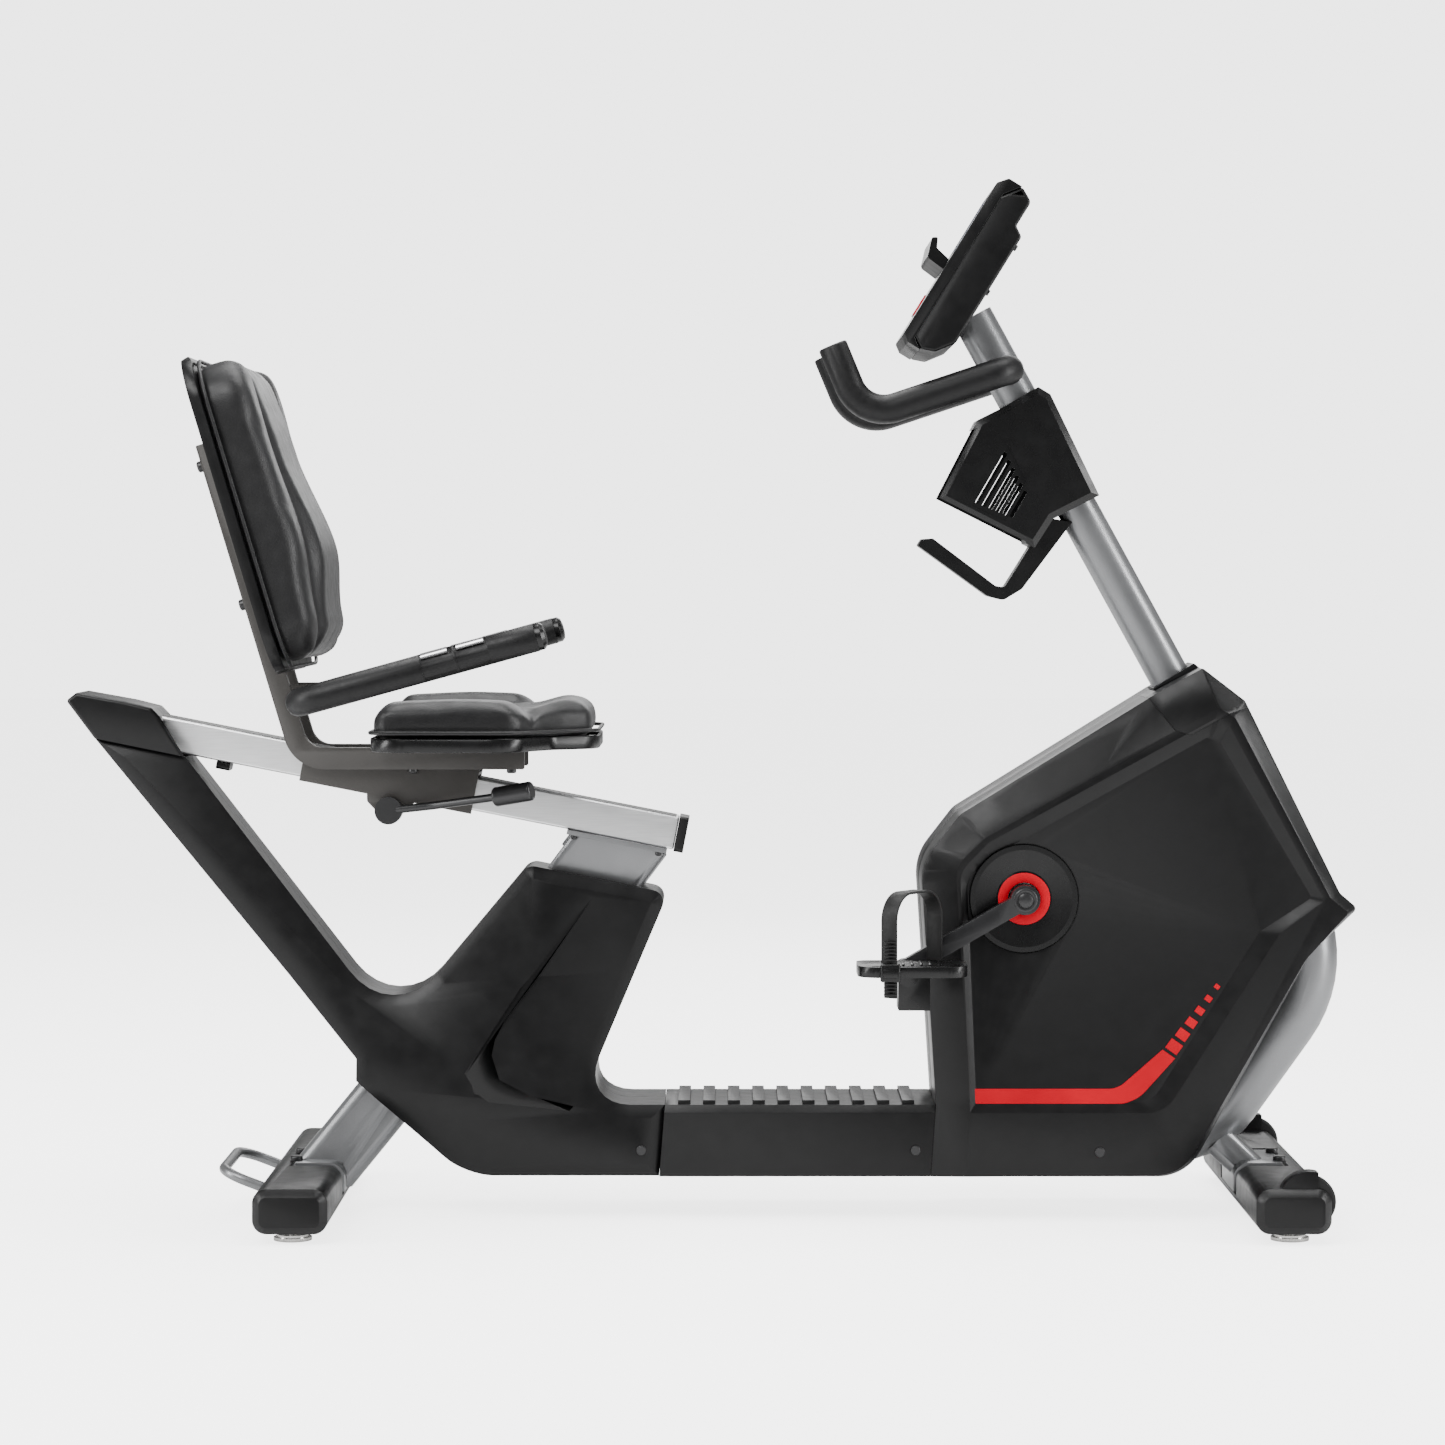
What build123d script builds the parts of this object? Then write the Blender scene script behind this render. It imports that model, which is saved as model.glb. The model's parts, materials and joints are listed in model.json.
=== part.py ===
"""Recumbent exercise bike: welded steel frame, moulded covers, sliding seat and belt drive.

Millimetres. +X points to the console, +Y to the rider's left, +Z up. The origin is on the floor,
under the middle of the bike.
"""
from build123d import *
import math
import os

# ---------------------------------------------------------------- driving dimensions
WALL = 3.0                      # moulded cover wall
GAP = 0.3                       # clearance between separate pieces
FIT = 0.05                      # radial running clearance

RAIL_SLOPE = 11.1               # the seat rail falls towards the front, degrees
RAIL_WIDTH = 60.0
RAIL_HEIGHT = 41.0
RAIL_REAR_X = -722.0
RAIL_FRONT_X = -40.0
RAIL_MID = (-360.0, 537.5)      # a point on the rail's centre line, in X and Z

MAIN_TUBE_R = 38.0              # curved main tube under the covers
MAIN_TUBE_Z = 97.0
MAIN_TUBE_WALL = 3.0
STRUT_DEPTH = 76.0
STRUT_WIDTH = 52.0
POST_DEPTH = 113.0
POST_WIDTH = 56.0

MAST_R = 25.4
MAST_WALL = 2.5
MAST_ANGLE = 61.13              # mast above the horizontal, leaning to the rider, degrees
MAST_POINT = (466.5, 868.0)     # a point on the mast's axis

REAR_STAB_X = -498.0
FRONT_STAB_X = 698.0
STAB_Z = 39.0
REAR_STAB_HALF = 252.0
FRONT_STAB_HALF = 240.0         # shorter, to leave room for the wheels
COVER_HALF = 273.0
FOOT_Y = 228.0
FOOT_R = 23.0
WHEEL_R = 32.0
WHEEL_X = 717.0
WHEEL_Y = 252.0
WHEEL_Z = 50.0

CRANK_X = 388.0
CRANK_Z = 399.0
CRANK_LENGTH = 170.0
CRANK_DROP = 29.4               # right crank arm below the horizontal, pointing back, degrees
PULLEY_R = 110.0
BELT_Y = 28.0                   # belt centre plane
BELT_WIDTH = 14.0
BELT_THICK = 3.0
FLYWHEEL_X = 584.0
FLYWHEEL_Z = 290.0
FLYWHEEL_R = 98.0
SMALL_PULLEY_R = 17.0

BASE_HALF = 84.0                # half width of the low covers
ARM_HALF = 50.0                 # half width of the rear arm cover
SHROUD_HALF = 100.0
PANEL_HALF = 93.0               # the shroud's side panel is set in from its rim

SEAT_HALF = 205.0
BACK_HALF = 195.0
HANDLE_Y = 265.0                # seat handlebar, centre to centre is twice this
BAR_Y = 50.0                    # seat frame bars
GRIP_R = 17.0

INLET = (505.0, 95.0)           # power socket
INLET_BORE = 2.75

CONSOLE_ANGLE = 58.3            # console face above the horizontal, degrees
CONSOLE_FOOT = (251.0, 1085.0)  # lower edge of the console's face
CONSOLE_HALF = 125.0
HANDLEBAR_X = 368.0
HANDLEBAR_Y = 120.0

RADIANS = math.pi / 180


# ---------------------------------------------------------------- helpers
def side_plane(y):
    """Plane at one y, seen from the rider's right: local x is X and local y is Z."""
    return Plane(origin=(0, y, 0), x_dir=(1, 0, 0), z_dir=(0, -1, 0))


def outline(points, radii=0):
    """Closed outline with rounded corners; radii is one number or one for each corner."""
    return make_face(FilletPolyline(*points, radius=radii, close=True))


def slab(face, y_low, y_high):
    """Side outline made solid from y_low to y_high."""
    return extrude(side_plane(y_high) * face, amount=y_high - y_low)


def plan_slab(face, z_low, z_high):
    """Plan outline made solid from z_low to z_high."""
    return extrude(Plane.XY.offset(z_low) * face, amount=z_high - z_low)


def step_loft(face_in, y_in, face_out, y_out):
    """Ruled solid between two side outlines with matching corners."""
    return loft([side_plane(y_in) * face_in, side_plane(y_out) * face_out], ruled=True)


def drum(x, z, radius, y_low, y_high):
    """Cylinder along Y."""
    plane = Plane(origin=(x, y_low, z), x_dir=(1, 0, 0), z_dir=(0, 1, 0))
    return extrude(plane * Circle(radius), amount=y_high - y_low)


def post(x, y, radius, z_low, z_high):
    """Cylinder along Z."""
    return extrude(Plane(origin=(x, y, z_low)) * Circle(radius), amount=z_high - z_low)


def ring(x, z, outer, inner, y_low, y_high):
    """Tube along Y."""
    return drum(x, z, outer, y_low, y_high) - drum(x, z, inner, y_low - 1, y_high + 1)


def beam(start, end, depth, width, corner, wall=0.0, y=0.0):
    """Rounded box section between two points in X and Z; depth is in the side view."""
    first = Vector(start[0], y, start[1])
    last = Vector(end[0], y, end[1])
    run = last - first
    plane = Plane(origin=first, x_dir=(0, 1, 0), z_dir=run)
    solid = extrude(plane * RectangleRounded(width, depth, corner), amount=run.length)
    if wall:
        bore = RectangleRounded(width - 2 * wall, depth - 2 * wall, max(corner - wall, 0.5))
        solid -= extrude(plane * bore, amount=run.length)
    return solid


def pipe(points, bends, outer, inner=0.0):
    """Round bar or tube along a path of straight runs, with one bend radius per inner corner."""
    path = FilletPolyline(*points, radius=bends) if bends else Polyline(*points)
    plane = Plane(origin=path @ 0, z_dir=path % 0)
    solid = sweep(plane * Circle(outer), path=path)
    if inner:
        solid -= sweep(plane * Circle(inner), path=path)
    return solid


def flip(shape):
    """The same piece on the rider's other side."""
    return mirror(shape, about=Plane.XZ)


def group(*shapes):
    """Several separate solids in one node."""
    return Compound(children=[solid for shape in shapes for solid in shape.solids()])


def along_mast(z):
    """X of the mast's axis at height z."""
    return MAST_POINT[0] - (z - MAST_POINT[1]) / math.tan(MAST_ANGLE * RADIANS)


def rail_point(x, lift=0.0):
    """Point at x on a line parallel to the rail's centre line, lift above it."""
    slope = math.tan(RAIL_SLOPE * RADIANS)
    rise = lift / math.cos(RAIL_SLOPE * RADIANS)
    return (x, RAIL_MID[1] - (x - RAIL_MID[0]) * slope + rise)


def rail_box(x_rear, x_front, low, high, half_width, corner=0.5):
    """Bar parallel to the rail, between two heights measured from its centre line."""
    middle = (low + high) / 2
    return beam(rail_point(x_rear, middle), rail_point(x_front, middle), high - low,
                2 * half_width, corner)


def polar(centre, radius, degrees):
    """Point on a circle in the side view."""
    return (centre[0] + radius * math.cos(degrees * RADIANS),
            centre[1] + radius * math.sin(degrees * RADIANS))


def console_point(up, out=0.0):
    """Point in the side view, up the console's face from its foot and out towards the rider."""
    angle = CONSOLE_ANGLE * RADIANS
    return (CONSOLE_FOOT[0] + up * math.cos(angle) - out * math.sin(angle),
            CONSOLE_FOOT[1] + up * math.sin(angle) + out * math.cos(angle))


CRANK_END_RIGHT = polar((CRANK_X, CRANK_Z), CRANK_LENGTH, 180 + CRANK_DROP)
CRANK_END_LEFT = polar((CRANK_X, CRANK_Z), CRANK_LENGTH, CRANK_DROP)
SOCKET_TOP = (along_mast(470), 470)
SOCKET_FOOT = (along_mast(400), 400)
UNDER_RAIL = -RAIL_HEIGHT / 2
FLYWHEEL = (FLYWHEEL_X, FLYWHEEL_Z)
MAGNET_PIVOT = polar(FLYWHEEL, FLYWHEEL_R + 12, 158)


# ---------------------------------------------------------------- belt geometry
def lower_belt_run():
    """Ends of the belt's lower straight run, and the outward unit normal there."""
    dx, dz = FLYWHEEL_X - CRANK_X, FLYWHEEL_Z - CRANK_Z
    centres = math.hypot(dx, dz)
    lean = math.asin((PULLEY_R - SMALL_PULLEY_R) / centres)
    normal = math.atan2(dz, dx) - math.pi / 2 + lean
    nx, nz = math.cos(normal), math.sin(normal)
    start = (CRANK_X + PULLEY_R * nx, CRANK_Z + PULLEY_R * nz)
    end = (FLYWHEEL_X + SMALL_PULLEY_R * nx, FLYWHEEL_Z + SMALL_PULLEY_R * nz)
    return start, end, (nx, nz)


IDLER_R = 20.0
IDLER_PLACE = 0.62              # how far along the lower run the idler sits


def idler_centre():
    """Centre of the tensioner pulley, just outside the belt's lower run."""
    start, end, normal = lower_belt_run()
    reach = IDLER_R + BELT_THICK + 2 * GAP
    x = start[0] + (end[0] - start[0]) * IDLER_PLACE + normal[0] * reach
    z = start[1] + (end[1] - start[1]) * IDLER_PLACE + normal[1] * reach
    return (x, z)


IDLER = idler_centre()
IDLER_PIVOT = (IDLER[0] - 62, IDLER[1] - 14)


# ---------------------------------------------------------------- welded frame and stabilisers
def main_tube(radius):
    """Solid of the bent main tube: along the floor, round the front and up to the mast."""
    points = [(-268, 0, MAIN_TUBE_Z), (624, 0, MAIN_TUBE_Z), (775, 0, 309),
              (SOCKET_TOP[0], 0, SOCKET_TOP[1])]
    path = FilletPolyline(*points, radius=[95, 140])
    plane = Plane(origin=path @ 0, z_dir=path % 0)
    return sweep(plane * Circle(radius), path=path)


def mast_bar(low, high, radius):
    """Solid round bar on the mast's axis between two heights."""
    run = Vector(along_mast(high), 0, high) - Vector(along_mast(low), 0, low)
    plane = Plane(origin=(along_mast(low), 0, low), z_dir=run)
    return extrude(plane * Circle(radius), amount=run.length)


def rear_supports():
    """Rear strut, rail post and rear arm tube, cut square under the rail."""
    strut = beam((-484, 45), (-200, 393), STRUT_DEPTH, STRUT_WIDTH, 14)
    bore = beam((-500, 25), (-160, 442), STRUT_DEPTH - 6, STRUT_WIDTH - 6, 11)
    column = beam((-206, 336), (-98, 480), POST_DEPTH, POST_WIDTH, 14)
    column_bore = beam((-206, 336), (-98, 480), POST_DEPTH - 6, POST_WIDTH - 6, 11)
    arm = beam((-366, 160), (-714, 594), 44, 40, 6, 2.5)
    above_rail = rail_box(-900, 200, UNDER_RAIL - 6, 400, 120)
    base_bore = pipe([(-310, 0, MAIN_TUBE_Z), (100, 0, MAIN_TUBE_Z)], [], MAIN_TUBE_R - 1)
    supports = (strut + column) - bore - column_bore
    supports += arm - beam((-484, 45), (-165, 436), STRUT_DEPTH - 2, STRUT_WIDTH - 2, 4)
    brace = beam((-238, MAIN_TUBE_Z + 20), (-238, 320), 50, 44, 6, 3)
    supports += brace - beam((-484, 45), (-165, 436), STRUT_DEPTH - 2, STRUT_WIDTH - 2, 4)
    floor_side = Pos(REAR_STAB_X, 0, 0) * Box(240, 140, 62)
    return supports - above_rail - base_bore - floor_side


def saddle(x, lean):
    """Curved plate that wraps the top and one side of a stabiliser; lean is its wrapped side."""
    inner = outline([(x - 41, STAB_Z - 23), (x + 41, STAB_Z - 23), (x + 41, STAB_Z + 23),
                     (x - 41, STAB_Z + 23)], 15)
    outer = outline([(x - 46, STAB_Z - 28), (x + 46, STAB_Z - 28), (x + 46, STAB_Z + 28),
                     (x - 46, STAB_Z + 28)], 20)
    wrap = slab(outer, -58, 58) - slab(inner, -70, 70)
    keep = Pos(x + lean * 30, 0, STAB_Z + 20) * Box(90, 140, 56)
    return wrap & keep


def base_frame():
    """The welded steel frame, one piece."""
    tube = main_tube(MAIN_TUBE_R) - main_tube(MAIN_TUBE_R - MAIN_TUBE_WALL)
    socket = mast_bar(SOCKET_FOOT[1], SOCKET_TOP[1], MAIN_TUBE_R - 2) - mast_bar(
        SOCKET_FOOT[1] - 10, SOCKET_TOP[1] + 10, MAST_R + FIT)
    frame = tube + socket
    frame += rear_supports()
    front_leg = beam((636, 92), (692, 40), 40, 62, 12) - main_tube(MAIN_TUBE_R - 1)
    front_leg -= Pos(FRONT_STAB_X, 0, STAB_Z) * Box(83, 120, 46)
    front_leg -= Pos(FRONT_STAB_X, 0, 0) * Box(240, 140, 62)
    frame += front_leg
    rear_foot = Pos(REAR_STAB_X, 0, STAB_Z) * Box(83, 120, 46)
    frame = frame - rear_foot + saddle(REAR_STAB_X, 1) + saddle(FRONT_STAB_X, -1)
    frame += rail_box(-176, -52, UNDER_RAIL - 6, UNDER_RAIL, 37)
    frame += rail_box(-716, -664, UNDER_RAIL - 6, UNDER_RAIL, RAIL_WIDTH / 2 - 8)
    frame += beam((CRANK_X, 130), (CRANK_X, CRANK_Z - 15), 50, 27, 5)
    frame += drum(CRANK_X, CRANK_Z, 24, -34, 14)
    for low, high in ((-44, -37.2), (37.2, 44)):
        plate = outline([(530, 97), (598, 97), (610, 300), (594, 312), (568, 312), (554, 300)],
                        [8, 8, 12, 6, 12, 12])
        frame += slab(plate, low, high)
    lug = outline([(405, 280), MAGNET_PIVOT, (MAGNET_PIVOT[0] + 8, MAGNET_PIVOT[1] + 9),
                   (MAGNET_PIVOT[0] - 2, MAGNET_PIVOT[1] + 12), (395, 345)], [0, 0, 3, 3, 0])
    frame += slab(lug, -20, -14.3) + drum(*MAGNET_PIVOT, 9, -20, -14.3)
    frame += beam((IDLER_PIVOT[0], 125), IDLER_PIVOT, 24, 16, 3)
    frame += drum(*IDLER_PIVOT, 11, -8, 8)
    frame -= drum(CRANK_X, CRANK_Z, 17.5, -60, 60)
    frame -= drum(*FLYWHEEL, 6, -60, 60)
    frame -= drum(*MAGNET_PIVOT, 4 + FIT, -60, 60)
    frame -= drum(*IDLER_PIVOT, 5 + FIT, -60, 60)
    return frame


def stabilizer(x, half):
    """Cross tube under one end of the bike, with threaded bosses for its two feet."""
    section = RectangleRounded(80, 44, 14)
    bore = RectangleRounded(74, 38, 11)
    plane = Plane(origin=(x, -half, STAB_Z), x_dir=(1, 0, 0), z_dir=(0, 1, 0))
    tube = extrude(plane * section, amount=2 * half)
    tube -= extrude(plane * bore, amount=2 * half)
    for y in (-FOOT_Y, FOOT_Y):
        tube += post(x, y, 11, STAB_Z - 20, STAB_Z + 20)
        tube -= post(x, y, 5 + FIT, 0, STAB_Z + 16)
    return tube


def rear_stabilizer():
    """Rear cross tube with the welded loop that lifts the bike onto its wheels."""
    return stabilizer(REAR_STAB_X, REAR_STAB_HALF) + lifting_loop(6.5)


def lifting_loop(radius):
    """Round bar bent into a handle behind the rear stabiliser."""
    return pipe([(-532, -95, 36), (-600, -95, 62), (-600, 95, 62), (-532, 95, 36)],
                [32, 32], radius)


def rear_stabilizer_cover():
    """Rear cover, with a hole for each leg of the lifting loop."""
    return stabilizer_cover(REAR_STAB_X, REAR_STAB_HALF, 1) - lifting_loop(8)


def stabilizer_cover(x, half, gap_side):
    """Moulded cover over a whole stabiliser, cut away over the bolted saddle."""
    profile = [(x - 45, 12), (x + 45, 12), (x + 45, 66), (x - 45, 66)]
    body = slab(outline(profile, 17), -COVER_HALF, COVER_HALF)
    rims = [edge for edge in body.edges() if abs(abs(edge.center().Y) - COVER_HALF) < 0.1]
    body = chamfer(rims, 9)
    bore = [(x - 40.3, 16.7), (x + 40.3, 16.7), (x + 40.3, 61.3), (x - 40.3, 61.3)]
    body -= slab(outline(bore, 14.3), -half - GAP, half + GAP)
    body -= Pos(x + gap_side * 28, 0, STAB_Z + 22) * Box(96, 152, 64)
    body -= Pos(x, 0, 10) * Box(84, 2 * FOOT_Y - 60, 16)
    for y in (-FOOT_Y, FOOT_Y):
        body -= post(x, y, 8, 0, 20)
    return body


def front_stabilizer_cover():
    """Front cover, with a hooded slot for a transport wheel at each end."""
    body = stabilizer_cover(FRONT_STAB_X, FRONT_STAB_HALF, -1)
    for side in (-1, 1):
        y = side * WHEEL_Y
        hood = drum(WHEEL_X, WHEEL_Z, WHEEL_R + 5, y - 11, y + 11)
        body += hood & Pos(WHEEL_X - 40, y, 75) * Box(100, 40, 50)
        body -= drum(WHEEL_X, WHEEL_Z, WHEEL_R + 2, y - 8.5, y + 8.5)
        body -= Pos(WHEEL_X + 16, y, 34) * Box(60, 17, 72)
        body += drum(WHEEL_X, WHEEL_Z, 4, y - 10, y + 10)
    return body


def transport_wheel(side):
    """Small grooved wheel, clear of the floor until the bike is tipped."""
    y = side * WHEEL_Y
    wheel = ring(WHEEL_X, WHEEL_Z, WHEEL_R, 4 + FIT, y - 8, y + 8)
    rims = [edge for edge in wheel.edges().filter_by(GeomType.CIRCLE) if edge.radius > 20]
    return fillet(rims, 3)


def foot(x, side):
    """Levelling foot: threaded stud, hexagon and a round pad with a rubber sole."""
    y = side * FOOT_Y
    pad = post(x, y, FOOT_R, 0, 4) + post(x, y, FOOT_R - 4, 4, 7)
    return pad + post(x, y, 5, 5, 30)


# ---------------------------------------------------------------- seat rail
def seat_rail():
    """Aluminium extrusion with a groove down each side."""
    rail = rail_box(RAIL_REAR_X, RAIL_FRONT_X, UNDER_RAIL, -UNDER_RAIL, RAIL_WIDTH / 2, 3)
    rail -= rail_box(RAIL_REAR_X - 10, RAIL_FRONT_X + 10, -15, 14, 17, 2)
    for side in (-1, 1):
        groove = rail_box(RAIL_REAR_X - 10, RAIL_FRONT_X + 10, -5, 5, 4)
        rail -= Pos(0, side * RAIL_WIDTH / 2, 0) * groove
    return rail


def rail_stops():
    """End cap of the rail and the bumper under its rear end."""
    cap = rail_box(RAIL_FRONT_X + GAP, RAIL_FRONT_X + 12, UNDER_RAIL - 2, -UNDER_RAIL + 2,
                   RAIL_WIDTH / 2 + 2, 5)
    bumper = rail_box(-614, -597, UNDER_RAIL - 11, UNDER_RAIL - GAP, 18, 4)
    return group(cap, bumper)


# ---------------------------------------------------------------- moulded covers
REAR_OUTLINE = [(-761, 594), (-436, 198), (-436, 171), (-361, 107), (-300, 54), (-61, 54),
                (-54, 142), (-160, 142), (-50, 402), (-224, 437), (-392, 236), (-649, 571)]
REAR_ROUNDS = [0, 0, 0, 0, 90, 0, 0, 42, 16, 16, 70, 0]


def width_wedge(shrink=0.0):
    """Cross section of the rear covers: wide at the floor and narrower up the arms."""
    base, arm = BASE_HALF - shrink, ARM_HALF - shrink
    section = make_face(Polyline((-base, 20), (base, 20), (base, 150), (arm + 9, 300), (arm, 610),
                                 (arm, 700), (-arm, 700), (-arm, 610), (-arm - 9, 300),
                                 (-base, 150), close=True))
    plane = Plane(origin=(-900, 0, 0), x_dir=(0, 1, 0), z_dir=(1, 0, 0))
    return extrude(plane * section, amount=1300)


def rear_cover_right():
    """Right half of the rear cover."""
    parting = -GAP / 4
    body = slab(outline(REAR_OUTLINE, REAR_ROUNDS), -90, parting) & width_wedge()
    cavity = slab(offset(outline(REAR_OUTLINE, REAR_ROUNDS), amount=-WALL), -90, 10)
    body -= cavity & width_wedge(WALL)
    body -= Pos(-60, 0, 98) * Box(14, 2 * BASE_HALF - 2 * WALL, 82)
    body -= beam((-484, 45), (-380, 172), STRUT_DEPTH + 4, STRUT_WIDTH + 4, 15)
    body -= beam((-175, 378), (-98, 480), POST_DEPTH + 4, POST_WIDTH + 4, 15)
    seam_opening = outline([(-752, 612), (-738, 575), (-655, 558), (-655, 604)])
    body -= slab(seam_opening, -ARM_HALF + WALL, 10)
    return body


def rear_cap():
    """Cap over the rear end of the rail."""
    points = [(-761.3, 594.4), (-796, 641), (-783, 651), (-722, 640), (-690, 632), (-680, 621.5),
              (-649.3, 571.6)]
    body = slab(outline(points, [0, 4, 4, 0, 6, 2, 0]), -ARM_HALF, ARM_HALF)
    rims = [edge for edge in body.edges() if abs(abs(edge.center().Y) - ARM_HALF) < 0.1
            and edge.center().Z > 585]
    body = fillet(rims, 5)
    hollow = [(-750, 588), (-770, 634), (-714, 632), (-640, 600), (-640, 550), (-660, 545)]
    body -= slab(outline(hollow), -ARM_HALF + WALL, ARM_HALF - WALL)
    body -= rail_box(-726, -500, UNDER_RAIL - 30, -UNDER_RAIL + GAP, RAIL_WIDTH / 2 + GAP, 2)
    return body


def deck_cover():
    """Low step-over cover between the two ends, with raised treads."""
    half, top = BASE_HALF, 142.0
    section = make_face(Polyline((-half, 54), (half, 54), (half, top - 9), (half - 7, top),
                                 (7 - half, top), (-half, top - 9), close=True))
    inside = make_face(Polyline((WALL - half, 57), (half - WALL, 57), (half - WALL, top - 10),
                                (half - 9, top - WALL), (9 - half, top - WALL),
                                (WALL - half, top - 10), close=True))
    plane = Plane(origin=(-70, 0, 0), x_dir=(0, 1, 0), z_dir=(1, 0, 0))
    shell = extrude(plane * section, amount=360) - extrude(plane * inside, amount=360)
    ends = outline([(-61.3 + GAP, 50), (274.7 - GAP, 50), (282.2 - GAP, 160), (-52.6 + GAP, 160)])
    shell = shell & slab(ends, -90, 90)
    for index in range(10):
        x = -30 + index * 30.8
        tread = Pos(x, 0, top - 1) * Box(15, 2 * half - 26, 12)
        shell += tread - Pos(x, 0, top - 9) * Box(30, 2 * half, 12)
    return shell


SHROUD_OUTLINE = [(275, 54), (281, 142), (262, 440), (310, 502), (556, 654), (608, 682), (660, 642),
                  (778, 405), (800, 386), (742, 330), (590, 54)]
SHROUD_ROUNDS = [0, 0, 70, 30, 0, 3, 8, 10, 6, 60, 60]
SHROUD_RIDGE = [(318, 56), (322, 142), (304, 440), (340, 474), (560, 597), (626, 634), (646, 622),
                (764, 400), (787, 382), (734, 324), (582, 58)]
SHROUD_RIDGE_ROUNDS = [0, 0, 38, 20, 0, 3, 8, 8, 4, 54, 54]
PANEL_RIM = [(322, 135), (309, 432), (344, 468), (624, 622), (640, 610), (757, 397), (702, 356),
             (562, 135)]
PANEL_ROUNDS = [2, 34, 14, 6, 8, 6, 16, 40]
PANEL_FLOOR = [(330, 147), (318, 424), (356, 455), (614, 598), (629, 590), (742, 400), (678, 358),
               (546, 147)]
PANEL_FLOOR_ROUNDS = [2, 26, 12, 6, 6, 5, 14, 34]
COLLAR_SEAM = [(536, 700), (541, 645), (572, 606), (592, 600), (640, 627), (690, 640), (660, 700)]


def shroud_solid():
    """Right half of the front shroud before it is hollowed."""
    sides = slab(outline(SHROUD_OUTLINE, SHROUD_ROUNDS), -BASE_HALF, 0)
    slope = step_loft(outline(SHROUD_OUTLINE, SHROUD_ROUNDS), -BASE_HALF,
                      outline(SHROUD_RIDGE, SHROUD_RIDGE_ROUNDS), -SHROUD_HALF)
    pocket = step_loft(outline(PANEL_FLOOR, PANEL_FLOOR_ROUNDS), -PANEL_HALF,
                       outline(PANEL_RIM, PANEL_ROUNDS), -SHROUD_HALF - 0.01)
    return sides + slope - pocket


def shroud_cutter():
    """Everything that passes through the shroud: tube, mast, stabiliser leg and crank."""
    cut = main_tube(MAIN_TUBE_R + 2.5)
    cut += mast_bar(420, 760, MAST_R + 3)
    cut += drum(CRANK_X, CRANK_Z, 50, -SHROUD_HALF - 5, SHROUD_HALF + 5)
    cut += drum(CRANK_X, CRANK_Z, 67.9, -SHROUD_HALF - 5, -PANEL_HALF + 0.5)
    return cut


def shroud_right():
    """Right half of the front shroud, with the collar's place cut out."""
    body = shroud_solid()
    cavity = offset(outline(SHROUD_OUTLINE, SHROUD_ROUNDS), amount=-WALL)
    body -= slab(cavity, -BASE_HALF, 10)
    inner = offset(outline(SHROUD_RIDGE, SHROUD_RIDGE_ROUNDS), amount=-WALL - 2)
    body -= slab(inner, -PANEL_HALF + WALL, -BASE_HALF + 1)
    body -= shroud_cutter()
    body -= Pos(276, 0, 98) * Box(16, 2 * BASE_HALF - 2 * WALL, 82)
    body -= slab(outline(COLLAR_SEAM), -SHROUD_HALF - 5, 10)
    body -= Pos(500, GAP / 4, 400) * Box(800, GAP / 2, 900)
    return body


def mast_collar():
    """Cap piece that closes the shroud round the foot of the mast."""
    right = shroud_solid()
    whole = right + flip(right)
    shrunk = offset(outline(COLLAR_SEAM), amount=-GAP)
    body = whole & slab(shrunk, -SHROUD_HALF - 5, SHROUD_HALF + 5)
    cavity = offset(outline(SHROUD_OUTLINE, SHROUD_ROUNDS), amount=-WALL)
    body -= slab(cavity, -BASE_HALF, BASE_HALF)
    lip = outline([(551, 655), (603, 687), (616, 676), (566, 646)], 2)
    body += slab(lip, -MAST_R - 8, MAST_R + 8)
    return body - mast_bar(420, 760, MAST_R + 0.6)


def crank_covers():
    """Dished disc round the crank on each side."""
    def disc():
        profile = make_face(Polyline((20, -92.6), (20, -97), (32, -97), (34, -93.5), (60, -96.5),
                                     (66, -96.5), (67.5, -92.6), close=True))
        plane = Plane(origin=(CRANK_X, 0, CRANK_Z), x_dir=(1, 0, 0), z_dir=(0, 0, 1))
        solid = revolve(plane * profile, axis=Axis((CRANK_X, 0, CRANK_Z), (0, 1, 0)))
        return solid
    return group(disc(), flip(disc()))


# ---------------------------------------------------------------- mast, bottle holder, bars
def mast():
    """Round steel mast from its socket up to the console."""
    tube = mast_bar(404, 1118, MAST_R) - mast_bar(390, 1130, MAST_R - MAST_WALL)
    return tube - drum(HANDLEBAR_X, 1047, 12.75, -40, 40)


def bottle_holder():
    """Moulded holder clamped round the mast: slotted cheeks and a hooked strap below."""
    shell = [(283, 891), (333, 988), (359, 1001), (408, 1029), (423, 1020), (484, 895), (427, 866),
             (404, 830)]
    body = slab(outline(shell, [5, 4, 4, 6, 6, 5, 4, 3]), -46, 46)
    body = chamfer([edge for edge in body.edges() if abs(abs(edge.center().Y) - 46) < 0.1], 2.5)
    pocket = [(250, 845), (312, 972), (335, 979), (362, 984), (402, 912), (392, 843), (398, 815)]
    body -= slab(outline(pocket, [0, 4, 4, 10, 16, 4, 0]), -42, 42)
    body -= mast_bar(780, 1100, MAST_R + 0.02)
    slot_face = outline([(0, -2.6), (72, -2.6), (72, 2.6), (0, 2.6)], 2)
    for index in range(6):
        plane = Plane(origin=(331 + 9.3 * index, 60, 884 - 3.6 * index),
                      x_dir=(0.5, 0, 0.866), z_dir=(0, -1, 0))
        body -= extrude(plane * slot_face, amount=120)
    strap = [(444, 853), (390, 778), (367, 765), (347, 770), (260, 833), (265, 841), (279, 842),
             (357, 783), (368, 781), (400, 828), (404, 840)]
    body += slab(outline(strap, [0, 8, 8, 8, 2, 1, 2, 5, 5, 0, 0]), -21, 21)
    return body


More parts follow.
